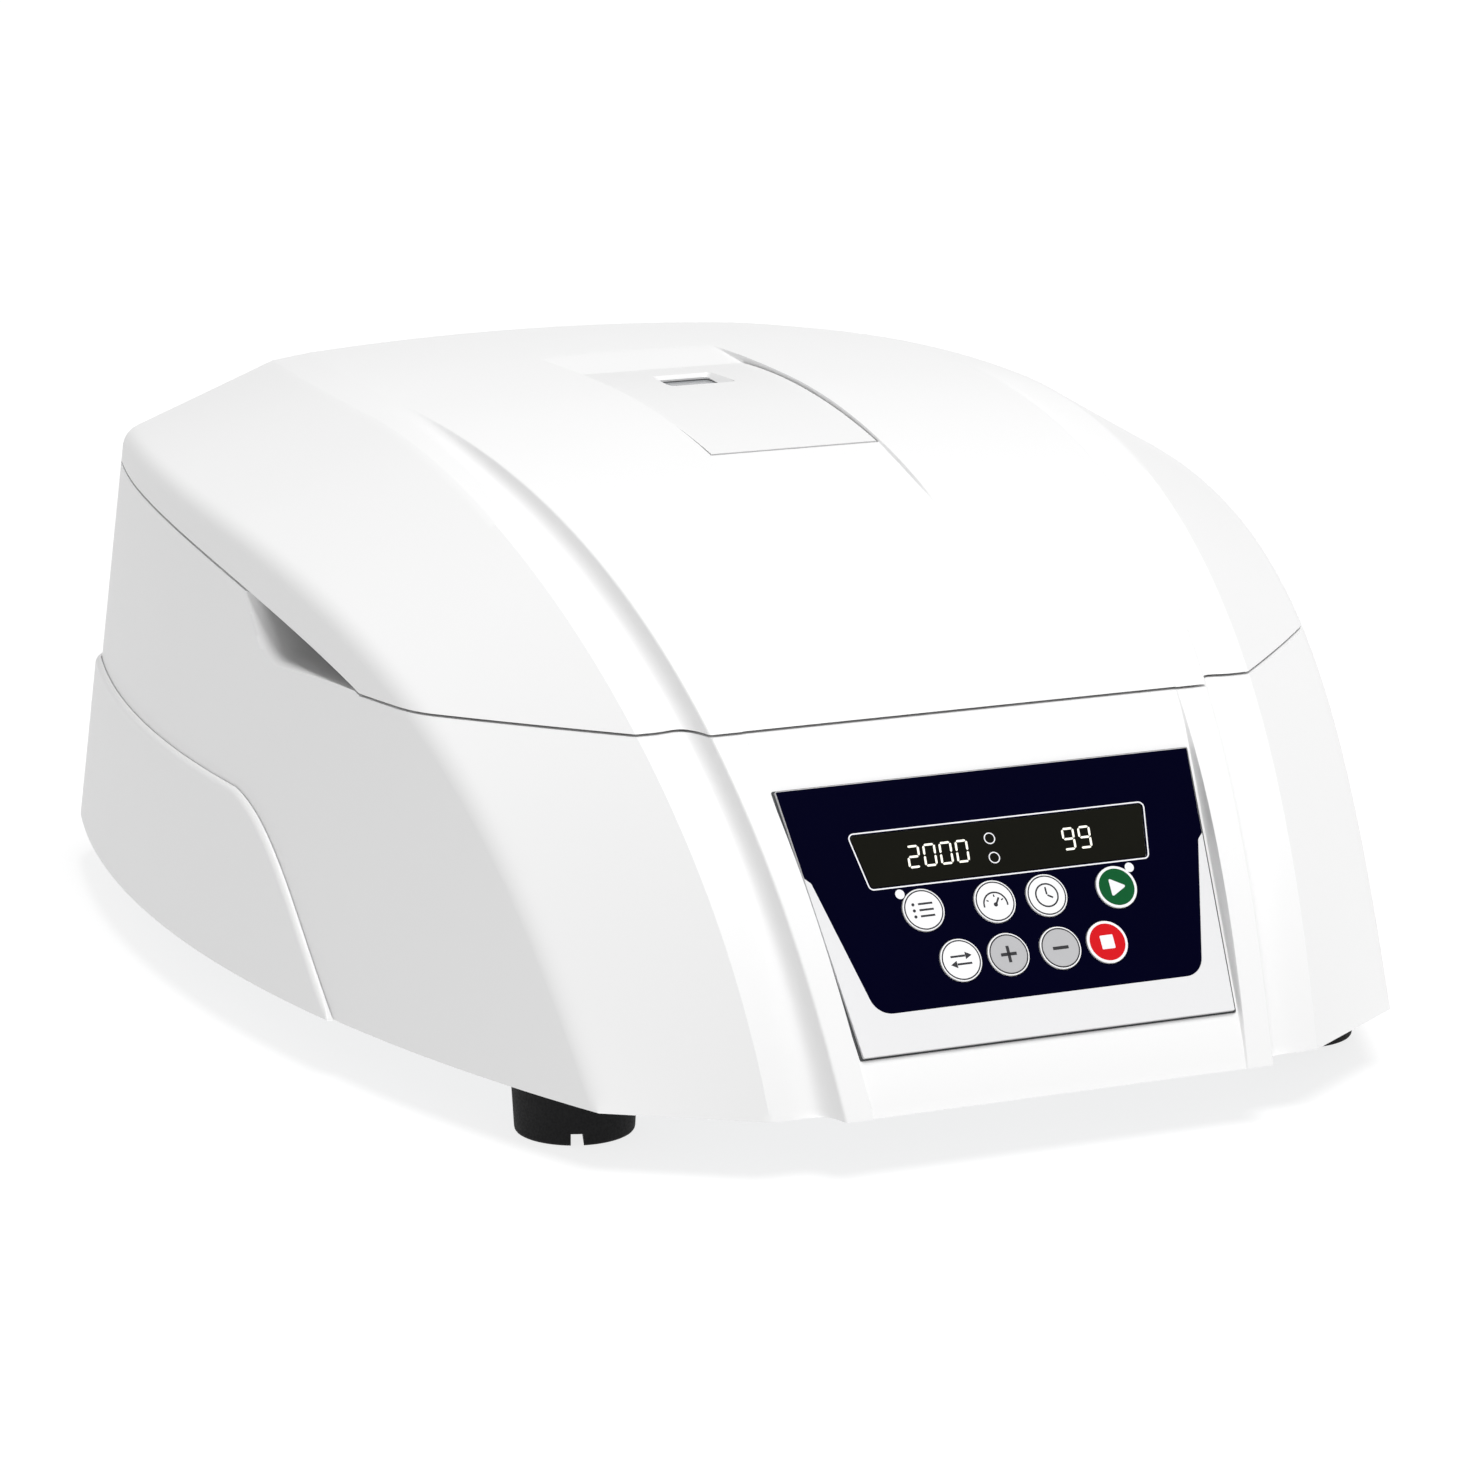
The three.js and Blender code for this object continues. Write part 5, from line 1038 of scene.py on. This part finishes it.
# A bar runs between two corners of the digit, shortened by the gap and pointed at both ends.
def barOutline(bar):
    w, h, g = digit["halfWidth"], digit["halfHeight"], digit["gap"]
    ends = {"a": ((-w, h), (w, h)), "g": ((-w, 0), (w, 0)), "d": ((-w, -h), (w, -h)),
            "f": ((-w, 0), (-w, h)), "b": ((w, 0), (w, h)), "e": ((-w, -h), (-w, 0)), "c": ((w, -h), (w, 0))}
    first, last = (np.array(p, float) for p in ends[bar])
    along = (last - first) / np.linalg.norm(last - first)
    side = np.array([-along[1], along[0]]) * digit["bar"] / 2
    first, last = first + along * g, last - along * g
    shoulder = along * digit["bar"] / 2
    return np.array([first, first + shoulder - side, last - shoulder - side, last, last - shoulder + side,
                     first + shoulder + side])


# Digits lean by a share of their height, rings and border are flat bands, and dots are discs.
def displayMarks():
    low, high = (window["lensTop"] + z for z in inkHeights)
    readings = [("2000", -35.8, 6.4), ("99", 26.1, 6.5)]
    grids = []
    for text, startX, pitch in readings:
        for k, symbol in enumerate(text):
            for bar in digitBars[symbol]:
                outline = barOutline(bar)
                outline[:, 0] += outline[:, 1] * digit["slant"] + startX + k * pitch
                grids.append(raisedGrid(outline + [0, digit["up"]], low, high))
    printed("display_reading", grids, "root", litSegment)
    rings = [grid for up in (24.4, 17)
             for grid in ribbonGrids(arc(2.0, 0, 350, -4.8, up, 36), 0.4, low, high, True)]
    printed("display_rings", rings, "root", whiteInk)
    border = windowOutline(0.4 + window["line"] / 2)
    printed("display_border_line", ribbonGrids(border, window["line"], *inkHeights, True), "root", whiteInk)
    dots = [raisedGrid(circleOutline(1.8, x, 7.4, 32), *inkHeights) for x in (-44.8, 46.9)]
    printed("panel_dots", dots, "root", whiteInk)


controlPanel()
keyPieces()
displayMarks()
print("control panel ready")

# Window plate and pane in the lid


# The plate is a bowed slab less a tapered port, and the pane is such a slab under it.
def windowPlate():
    cap = bowedSlab("lid_window_plate", 0, 0, -plate["thickness"], 0)
    top, foot = portOutline(port["bevelOut"]), portOutline(-port["bevelIn"])
    middle = [port["x"], port["y"]]
    lift = float(plateBow(port["y"]))
    heights = [(top, lift + 2.0, True), (top, lift + 2.0, False), (top, lift + 0.4, False),
               (foot, lift - plate["thickness"], False), (foot, lift - plate["thickness"] - 2, False),
               (foot, lift - plate["thickness"] - 2, True)]
    loops = [np.column_stack([np.broadcast_to(middle, ring.shape) if centre else ring,
                              np.full(len(ring), z)]) for ring, z, centre in heights]
    grid = np.stack(loops)
    hole = solidFrom("port_hole", [inFrame(np.concatenate([grid, grid[:, :1]], axis=1), plateFrame)])
    finished(shaped(cap, cuts=[hole]), "lid", whitePolished, ["window_plate"])
    back = -plate["thickness"] - clearance
    pane = bowedSlab("window_port_pane", 0, 0, back - 2, back)
    keep = raisedOutline("pane_outline", portOutline(port["paneMargin"]), -10, 10, 0, plateFrame)
    finished(shaped(pane, common=[keep]), "lid", greyPane, ["window_pane"])


windowPlate()
print("lid plate ready")

# Steel chamber, seal, rotor and liner, all turned about the rotor axis

bowl = {"hole": 8, "domeRadius": 44.5, "domeZ": 101, "floorZ": 66, "flange": 12, "flangeFootZ": 138.3}
seal = {"inner": 152, "width": 6, "height": 3.2, "lip": 1.2}
rotor = {"radius": 122, "footZ": 128, "topZ": 136, "hub": 16, "hubDepth": 10, "bore": 5.3, "notches": 12,
         "notchHalf": 14, "notchInner": 84, "recessInner": 30, "recessOuter": 74, "recessDepth": 1.6}
knob = {"foot": 13, "waist": 9, "top": 14, "height": 22, "recess": 3, "flutes": 12, "fluteDepth": 0.9}
liner = {"flangeZ": 143.8, "thickness": 1.8, "outer": 161, "inner": 150, "top": 124, "topZ": 180, "port": 16,
         "postRadius": 5, "postReach": 60}


# A rounded profile turned about the rotor's axis.
def roundRotor(name, profile, radius, steps):
    return turned(name, softProfile(profile, radius, steps), 144, 0, rotorAxisY)


# The bowl and its seal are turned profiles.
def chamberPieces():
    t, radius = chamber["bowlThickness"], chamber["bowlRadius"]
    flangeTop = bowl["flangeFootZ"] + t
    shape = [[bowl["hole"], bowl["domeZ"]], [bowl["domeRadius"] - t, bowl["domeZ"]],
             [bowl["domeRadius"], bowl["floorZ"]], [radius + t, bowl["floorZ"]],
             [radius + t, bowl["flangeFootZ"]], [radius + bowl["flange"], bowl["flangeFootZ"]],
             [radius + bowl["flange"], flangeTop], [radius, flangeTop], [radius, bowl["floorZ"] + t],
             [bowl["domeRadius"] + t, bowl["floorZ"] + t], [bowl["domeRadius"], bowl["domeZ"] + t],
             [bowl["hole"], bowl["domeZ"] + t]]
    finished(roundRotor("spun_chamber_bowl", shape, 5, 5), "root", spunSteel, ["chamber_bowl"])
    low = flangeTop + clearance
    lipShares = [[0, 0], [1, 0], [1, 0.45], [0.62, 0.5], [0.5, 1], [0.2, 1], [0, 0.6]]
    ring = [[seal["inner"] + seal["width"] * x, low + seal["height"] * up] for x, up in lipShares]
    finished(roundRotor("lipped_chamber_seal", ring, seal["lip"] / 2, 3), "root", sealRubber,
             ["chamber_seal"])


# A frame turned about the rotor's axis.
def aboutRotor(turn):
    matrix = np.eye(4)
    matrix[:2, :2] = [[math.cos(turn), -math.sin(turn)], [math.sin(turn), math.cos(turn)]]
    matrix[1, 3] = rotorAxisY
    return matrix


# The disc is a turned profile less a notch for each place, and a dot marks every second place.
def rotorPieces():
    foot, top, bore = rotor["footZ"], rotor["topZ"], rotor["bore"]
    floor, low = top - rotor["recessDepth"], foot - rotor["hubDepth"]
    ring = [[bore, low], [rotor["hub"], low], [rotor["hub"], foot], [rotor["radius"], foot],
            [rotor["radius"], top], [rotor["recessOuter"], top], [rotor["recessOuter"] - 1.5, floor],
            [rotor["recessInner"] + 1.5, floor], [rotor["recessInner"], top], [bore, top]]
    disc = roundRotor("turned_rotor_disc", ring, 0.8, 3)
    notch = roundedBox(rotor["notchInner"], rotor["radius"] + 20, -rotor["notchHalf"], rotor["notchHalf"], 3)
    cuts = [raisedOutline(f"notch_{k}", notch, foot - 5, top + 5, 0,
                          aboutRotor(2 * math.pi * k / rotor["notches"])) for k in range(rotor["notches"])]
    finished(shaped(disc, cuts=cuts), "rotor", anodised, ["rotor_disc"])
    for k in range(6):
        spot = circleOutline(2.2, 66, 0, 24)
        printed(f"place_dot_{k + 1}", [raisedGrid(spot, floor - 0.05, floor + 0.15, 0.08)], "rotor",
                motorEnamel, aboutRotor(2 * math.pi * k / 6))


# The knob is turned, then its grip is fluted: the radius dips by a cosine round the turn.
def rotorKnob():
    low, high = rotor["topZ"] + clearance, rotor["topZ"] + clearance + knob["height"]
    ring = softProfile([[0, low + knob["recess"]], [rotor["bore"], low + knob["recess"]],
                        [rotor["bore"], low],
                        [knob["foot"], low], [knob["foot"], low + knob["height"] / 6],
                        [knob["waist"], low + knob["height"] / 3], [knob["top"], low + knob["height"] / 2],
                        [knob["top"], high], [0, high]], 1.2, 4)
    grid = turnedGrid(ring, 96, 0, 0)
    radius = np.linalg.norm(grid[..., :2], axis=-1)
    turn = np.arctan2(grid[..., 1], grid[..., 0])
    grip = smooth(low + knob["height"] * 0.42, low + knob["height"] * 0.52, grid[..., 2])
    grip = grip * smooth(knob["waist"], knob["waist"] + 3, radius)
    dip = 1 - knob["fluteDepth"] * grip * (1 + np.cos(turn * knob["flutes"])) / 2 / np.maximum(radius, 1)
    grid[..., :2] *= dip[..., None]
    grid[..., 1] += rotorAxisY
    finished(solidFrom("fluted_rotor_knob", [np.vstack([grid, grid[:1]])]), "rotor", blackAbs,
             ["rotor_knob"])


# The liner is a turned profile with four posts that end at the lid's inside.
def linerPieces():
    t = liner["thickness"]
    ring = [[liner["inner"], liner["flangeZ"]], [liner["outer"], liner["flangeZ"]],
            [liner["outer"], liner["flangeZ"] + t], [liner["inner"] + t, liner["flangeZ"] + t],
            [liner["top"], liner["topZ"]], [liner["port"], liner["topZ"]],
            [liner["port"], liner["topZ"] - t], [liner["top"] - t, liner["topZ"] - t]]
    skinPiece = roundRotor("lid_inner_liner", ring, 2.5, 4)
    posts = [cylinder("liner_post", liner["postRadius"], liner["topZ"] - t / 2, overAll, 24,
                      rotorAxisY + end * liner["postReach"], side * liner["postReach"])
             for side in (-1, 1) for end in (-1, 1)]
    shaped(posts[0], added=posts[1:])
    shaped(posts[0], common=[copied(underLid, "under_lid_posts")])
    finished(shaped(skinPiece, added=[posts[0]]), "lid", whitePolished, ["lid_liner"])


chamberPieces()
rotorPieces()
rotorKnob()
underLid = bodyBlock("under_lid", wallThickness + clearance, skin["footHeight"], detail=0.3)
linerPieces()
print("chamber and rotor ready")

# Slide clips and funnels: each is worked out at the rotor's right-hand side and turned to its place

clip = {"back": 104, "thickness": 3, "half": 13.2, "footZ": 86, "topZ": 164, "flange": 6, "sheet": 1,
        "pin": 1.5, "pinReach": 4.8, "pinZ": 137.8, "corner": 3}
funnel = {"plate": 3.2, "half": 11.5, "footZ": 94, "topZ": 158, "radius": 6.5, "wall": 1.3, "cupZ": 122,
          "length": 36, "spoutHalf": 4, "spoutDrop": 10}


# An outline told across and up, raised outwards from the axis.
def standing(outline, low, high, bevel=0.0, lowBevel=0.0):
    return raisedGrid(outline, low, high, bevel, lowBevel)[..., [2, 0, 1]]


# A clip is a sheet with two sides and a cross pin, a funnel a card with a turned cup and a spout.
def carrierPieces(k):
    place, body = aboutRotor(2 * math.pi * k / 6), f"carrier_{k + 1}"
    back, front = clip["back"], clip["back"] + clip["thickness"]
    plan = roundedBox(-clip["half"], clip["half"], clip["footZ"], clip["topZ"], clip["corner"])
    sheet = solidFrom(f"bent_slide_clip_{k + 1}", [inFrame(standing(plan, back, front, 0.5, 0.5), place)])
    sides = []
    for side in (-1, 1):
        near, far = sorted((side * clip["half"], side * (clip["half"] - clip["sheet"])))
        sides.append(boxBlock(f"clip_side_{side}", back - clip["flange"], back + 1.5, near, far,
                              clip["footZ"] + 2, clip["topZ"] - 2, place))
    turn = fullTurn(24)
    reach, middle = clip["half"] + clip["pinReach"], back + clip["thickness"] / 2
    along = np.array([[-reach, 0], [-reach, 0.7], [-reach + 0.5, 1], [reach - 0.5, 1], [reach, 0.7],
                      [reach, 0]])
    pin = np.stack(np.broadcast_arrays(middle + clip["pin"] * along[:, 1:] * np.cos(turn), along[:, :1],
                                       clip["pinZ"] + clip["pin"] * along[:, 1:] * np.sin(turn)), -1)
    sides.append(solidFrom("clip_pin", [inFrame(pin, place)]))
    finished(shaped(sheet, added=sides), body, sheetSteel, [f"slide_clip_{k + 1}"])

    face = back - clearance
    card = roundedBox(-funnel["half"], funnel["half"], funnel["footZ"], funnel["topZ"], 2, 5)
    card = inFrame(standing(card, face - funnel["plate"], face, 0.4, 0.4), place)
    cardPiece = solidFrom(f"moulded_funnel_{k + 1}", [card])
    cupX, inner = face - funnel["plate"] - funnel["radius"], funnel["radius"] - funnel["wall"]
    top, tip = funnel["cupZ"] + funnel["length"], funnel["cupZ"] - funnel["radius"] / 2
    ring = softProfile([[0, tip], [inner / 2, tip], [funnel["radius"], funnel["cupZ"]],
                        [funnel["radius"], top], [inner, top],
                        [inner, funnel["cupZ"] + funnel["wall"]], [0, funnel["cupZ"]]], 0.5, 3)
    cup = turned("funnel_cup", ring, 40, cupX, 0, place)
    spout = boxBlock("funnel_spout", cupX + inner + funnel["wall"] / 2, face - funnel["plate"] / 2,
                     -funnel["spoutHalf"], funnel["spoutHalf"], funnel["cupZ"] - funnel["spoutDrop"] / 2,
                     funnel["cupZ"] + funnel["spoutDrop"], place)
    finished(shaped(cardPiece, added=[cup, spout]), body, milkyPlastic,
             [f"sample_funnel_{k + 1}"])


for number in range(6):
    carrierPieces(number)
print("slide carriers ready")

# Lid hook: a steel plate with a window for the lock's nose

hook = {"y": -165, "thickness": 4, "half": 14, "footZ": 112, "reachZ": 290, "windowFoot": 117,
        "windowTop": 131, "windowHalf": 9.5}


# The blade ends at the lid's inside, and its window is cut through it.
def lidHook():
    plan = roundedBox(-hook["half"], hook["half"], hook["footZ"], hook["reachZ"], 3)
    hole = roundedBox(-hook["windowHalf"], hook["windowHalf"], hook["windowFoot"], hook["windowTop"], 1.5, 5)
    near, far = hook["y"] - hook["thickness"] / 2, hook["y"] + hook["thickness"] / 2
    blade = solidFrom("lid_hook_blade", [raisedGrid(plan, near, far, 0.5, 0.5)[..., [0, 2, 1]]])
    opening = solidFrom("hook_window", [raisedGrid(hole, near - 3, far + 3)[..., [0, 2, 1]]])
    finished(shaped(blade, common=[copied(underLid, "under_lid_hook")], cuts=[opening]), "lid", sheetSteel,
             ["lid_hook"])


lidHook()
bpy.data.objects.remove(underLid)

# Rear hinges, power inlet and switch, told on the leaning rear wall: across, out and up

hinge = {"x": 110, "radius": 5, "pin": 2, "half": 12, "leaf": 2, "leafStart": 7, "leafLength": 19,
         "wallGap": 0.42, "screw": 2.6, "screwX": 6.5, "screwShift": 1.5, "screwSlot": (2.1, 0.35)}
inlet = {"flange": 2.6, "flangeThickness": 2, "depth": 20, "socketHalf": (12.2, 8.4), "socketDepth": 17,
         "corner": 3, "bladeLength": 10, "bladeHalf": 1, "bladeHeight": 2.5, "bladeSpread": 7}
switch = {"wall": 2.3, "depth": 18, "rockerDepth": 9, "tilt": 8, "half": (6.8, 10.2), "pin": 1.2,
          "pivot": 1.5, "crown": 5.2, "saddle": 3.4, "edge": 2.7, "keel": 5}
coverFace = 2.8 + clearance  # how far the backs of both flanges stand off the wall


# An outline told across and up, raised outwards from the wall.
def onWall(grid):
    return inFrame(grid[..., [0, 2, 1]], rearFrame)


# A rounded block on the wall, told by its sides.
def wallBlock(name, lowX, highX, lowOut, highOut, lowUp, highUp, radius=1.0, bevel=0.4):
    outline = roundedBox(lowX, highX, lowUp, highUp, radius, 5)
    return solidFrom(name, [onWall(raisedGrid(outline, lowOut, highOut, bevel))])


# A block on the wall told by its middle and its half sizes.
def wallPlug(name, x, up, halfX, halfUp, lowOut, highOut, radius, bevel):
    return wallBlock(name, x - halfX, x + halfX, lowOut, highOut, up - halfUp, up + halfUp, radius, bevel)


# A round bar along X, its ends slightly rounded.
def wallBar(name, radius, lowX, highX, out, up, bevel=0.4):
    turn = fullTurn(48)
    soft = bevel * 0.3
    along = np.array([[lowX, 0], [lowX, radius - bevel], [lowX + soft, radius - soft],
                      [lowX + bevel, radius], [highX - bevel, radius], [highX - soft, radius - soft],
                      [highX, radius - bevel], [highX, 0]])
    grid = np.stack(np.broadcast_arrays(along[:, :1], out + along[:, 1:] * np.cos(turn),
                                        up + along[:, 1:] * np.sin(turn)), -1)
    return solidFrom(name, [inFrame(grid, rearFrame)])


# Each half is a leaf, a web and a barrel about the pin, with two slotted screws.
def hinges():
    out = hinge["radius"] + hinge["wallGap"]
    up = (parting["rearZ"] - skin["footHeight"]) / math.cos(math.radians(draftAngle))
    for side, hand in ((-1, "left"), (1, "right")):
        x = side * hinge["x"]
        for above, name, body in ((False, "bracket", "root"), (True, "arm", "lid")):
            turn = 1 if above else -1
            lowX, highX = clearance / 2, hinge["half"] - clearance
            if not above:
                lowX, highX = -highX, -lowX
            leafLow, leafHigh = sorted((up + turn * hinge["leafStart"],
                                        up + turn * (hinge["leafStart"] + hinge["leafLength"])))
            webLow, webHigh = sorted((up + turn * hinge["pin"],
                                      up + turn * (hinge["leafStart"] + hinge["leaf"])))
            face, screwUp = clearance + hinge["leaf"], (leafLow + leafHigh) / 2 + turn * hinge["screwShift"]
            leaf = wallBlock(f"hinge_{name}_plate_{hand}", x - hinge["half"], x + hinge["half"], clearance,
                             face, leafLow, leafHigh, 2.5, 0.4)
            added = [wallBlock("web", x + lowX, x + highX, 0.35, out, webLow, webHigh, 0.3, 0.05),
                     wallBar("barrel", hinge["radius"], x + lowX, x + highX, out, up)]
            cuts = [wallBar("bore", hinge["pin"] + clearance, x - 30, x + 30, out, up, 0.05)]
            shaped(leaf, added=added)
            heads = []
            for screwX in (x - hinge["screwX"], x + hinge["screwX"]):
                rim = circleOutline(hinge["screw"], screwX, screwUp, 32)
                heads.append(solidFrom("screw", [onWall(raisedGrid(rim, face - 0.4, face + 0.9, 0.7))]))
                cuts.append(wallPlug("slot", screwX, screwUp, *hinge["screwSlot"], hinge["leaf"] + 0.75,
                                     hinge["leaf"] + 4, 0.1, 0))
            shaped(leaf, added=heads)
            finished(shaped(leaf, cuts=cuts), body, zincSteel, [f"hinge_{name}_{hand}"])
        pinEnd = hinge["half"] + clearance
        pin = wallBar(f"hinge_pin_bar_{hand}", hinge["pin"], x - pinEnd, x + pinEnd, out, up, 0.4)
        finished(pin, "root", sheetSteel, [f"hinge_pin_{hand}"])


# A flanged frame less a six-sided socket, with three flat blades in it.
def powerInlet():
    x, up, half = rearFit["inletX"], rearFit["inletUp"], rearFit["inletHalf"]
    face = coverFace + inlet["flangeThickness"]
    grow, deep = inlet["flange"], face - inlet["socketDepth"]
    frameBody = wallPlug("inlet_moulding", x, up, half[0] + grow, half[1] + grow, coverFace, face,
                         inlet["corner"], 0.7)
    shell = wallPlug("inlet_shell", x, up, *half, -inlet["depth"], coverFace + clearance, inlet["corner"],
                     0.05)
    socketX, socketUp = inlet["socketHalf"]
    corners = [(x - socketX, up - socketUp), (x + socketX, up - socketUp), (x + socketX, up + 3),
               (x + socketX - 5.4, up + socketUp), (x - socketX + 5.4, up + socketUp), (x - socketX, up + 3)]
    hollow = solidFrom("inlet_hollow", [onWall(raisedGrid(roundedOutline(corners, 1.2, 5), deep, face + 6))])
    shaped(frameBody, added=[shell])
    finished(shaped(frameBody, cuts=[hollow]), "root", blackAbs, ["power_inlet"])
    spots = ((-inlet["bladeSpread"], -1.25), (inlet["bladeSpread"], -1.25), (0, 1.25))
    for k, (dx, dz) in enumerate(spots):
        blade = wallPlug(f"inlet_blade_{k + 1}", x + dx, up + dz, inlet["bladeHalf"], inlet["bladeHeight"],
                         deep - 0.5, deep + inlet["bladeLength"], 0.3, 0.6)
        finished(blade, "root", sheetSteel)


# Points told outwards and up, turned by an angle.
def leant(points, angle):
    outward, upward = points[..., 0], points[..., 1]
    return np.stack([outward * math.cos(angle) - upward * math.sin(angle),
                     outward * math.sin(angle) + upward * math.cos(angle)], -1)


# A flanged frame less its well, and a rocker whose side view is an outline raised across.
def powerSwitch():
    x, up, half = rearFit["switchX"], rearFit["inletUp"], rearFit["switchHalf"]
    face = coverFace + inlet["flangeThickness"]
    grow, wall = inlet["flange"], switch["wall"]
    bezel = wallPlug("switch_bezel", x, up, half[0] + grow, half[1] + grow, coverFace, face, 1.8, 0.7)
    shell = wallPlug("switch_shell", x, up, *half, -switch["depth"], coverFace + clearance, 1.5, 0.05)
    hollow = wallPlug("switch_hollow", x, up, half[0] - wall, half[1] - wall,
                      switch["pivot"] - switch["rockerDepth"], face + 6, 1.2, 0)
    out, boreEnd = coverFace - switch["pivot"], half[0] - 0.6
    bore = wallBar("switch_bore", switch["pin"] + clearance, x - boreEnd, x + boreEnd, out, up, 0.05)
    shaped(bezel, added=[shell])
    finished(shaped(bezel, cuts=[hollow, bore]), "root", blackAbs, ["switch_frame"])

    halfX, halfUp = switch["half"]
    lean = math.radians(-switch["tilt"])
    keel, edge, crown, saddle = switch["keel"], switch["edge"], switch["crown"], switch["saddle"]
    side = softProfile([[-keel, -edge], [edge, -halfUp], [crown, -halfUp], [saddle, 0], [crown, halfUp],
                        [edge, halfUp], [-keel, edge]], 0.5, 3)
    grid = raisedGrid(leant(side, lean)[::-1], -halfX, halfX, 0.4, 0.4)
    place = grid[..., [2, 0, 1]] + [x, out, up]
    rocker = solidFrom("switch_rocker_cap", [inFrame(place, rearFrame)])
    pin = wallBar("rocker_pin", switch["pin"], x - half[0] + wall / 2, x + half[0] - wall / 2, out, up, 0.2)
    finished(shaped(rocker, added=[pin]), "rocker", blackAbs, ["power_rocker"])
    # the plain ON bar and OFF ring, printed on the two slopes
    slope = math.atan2(crown - saddle, halfUp)
    for sign, name in ((1, "off"), (-1, "on")):
        middle = leant(np.array([(crown + saddle) / 2, sign * halfUp / 2]), lean)
        grids = (ribbonGrids(arc(1.9, 0, 350, steps=36), 0.6, -0.03, 0.06, True) if name == "off"
                 else ribbonGrids(line((0, -2), (0, 2)), 0.6, -0.03, 0.06))
        marks = []
        for mark in grids:
            onSlope = leant(mark[..., [2, 1]], lean - sign * slope) + middle + [out, up]
            marks.append(inFrame(np.concatenate([mark[..., :1] + x, onSlope], -1), rearFrame))
        finished(solidFrom(f"switch_{name}_mark", marks), "rocker", whiteInk)


hinges()
powerInlet()
powerSwitch()
print("rear fittings ready")

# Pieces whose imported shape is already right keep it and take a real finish

plainFinishes = {
    "base_plate": zincSteel, "display_module": blackAbs, "key_board": solderMask, "guard_ring": zincSteel,
    "motor_bush_1": footRubber, "motor_bush_2": footRubber, "motor_bush_3": footRubber,
    "motor_bracket": zincSteel, "motor_body": motorEnamel, "motor_shaft": sheetSteel, "lock_body": zincSteel,
    "lock_pawl": sheetSteel, "power_board": solderMask}
for nodeName, finish in plainFinishes.items():
    mesh = nodes[nodeName].data
    mesh.materials.clear()
    mesh.materials.append(finish)
print("kept pieces finished")

# Camera, light and floor

camera = {"place": (-0.8426, -1.9091, 0.6013), "azimuth": -23.644, "elevation": 13.74, "focal": 5420.34,
          "imageWidth": 1470, "sensor": 36.0}


# Puts a camera or a lamp in the scene; its matrix is told column by column.
def placed(name, data, *columns):
    made = bpy.data.objects.new(name, data)
    matrix = np.eye(4)
    matrix[:3, :len(columns)] = np.column_stack(columns)
    made.matrix_world = Matrix(matrix.tolist())
    bpy.context.scene.collection.objects.link(made)
    return made


# The view that was fitted to the photograph, from its azimuth and elevation.
def setCamera():
    data = bpy.data.cameras.new("view")
    data.sensor_fit = "HORIZONTAL"
    data.sensor_width = camera["sensor"]
    data.lens = camera["focal"] / camera["imageWidth"] * camera["sensor"]
    a, e = math.radians(camera["azimuth"]), math.radians(camera["elevation"])
    back = np.array([math.sin(a) * math.cos(e), -math.cos(a) * math.cos(e), math.sin(e)])
    right = np.array([math.cos(a), math.sin(a), 0])
    bpy.context.scene.camera = placed("view", data, right, np.cross(back, right), back, camera["place"])


light = {"world": 0.425, "sun": 2.55, "sunDirection": (0.09, -0.24, 0.96), "sunAngle": 28,
         "floorGlow": 0.8, "floorHalf": 15000}


# An even white surround and one broad lamp from above and a little in front.
def setLight():
    world = bpy.data.worlds.new("studio")
    world.use_nodes = True
    world.node_tree.nodes["Background"].inputs["Color"].default_value = linear("#FFFFFF")
    world.node_tree.nodes["Background"].inputs["Strength"].default_value = light["world"]
    bpy.context.scene.world = world
    data = bpy.data.lights.new("softbox", "SUN")
    data.energy = light["sun"]
    data.angle = math.radians(light["sunAngle"])
    z = np.array(light["sunDirection"]) / np.linalg.norm(light["sunDirection"])
    x = np.cross([0, 0, 1], z)
    x /= np.linalg.norm(x)
    placed("softbox", data, x, np.cross(z, x), z)


# A wide flat board under the feet.
def setFloor():
    half = light["floorHalf"]
    floor = boxBlock("floor", -half, half, -half, half, -20, 0)
    glow = {"Emission Color": linear("#FFFFFF"), "Emission Strength": light["floorGlow"]}
    # a painted board that glows a little, so that it comes out white under the object
    floor.data.materials.append(surfaceMaterial("pale_floor", "#7E7E7E", "#7A7A7A", rough=(0.7, 0.8),
                                                patch=900, grain=40, bump=0.0, **glow))


setCamera()
setLight()
setFloor()
bpy.context.scene.view_settings.view_transform = "Standard"
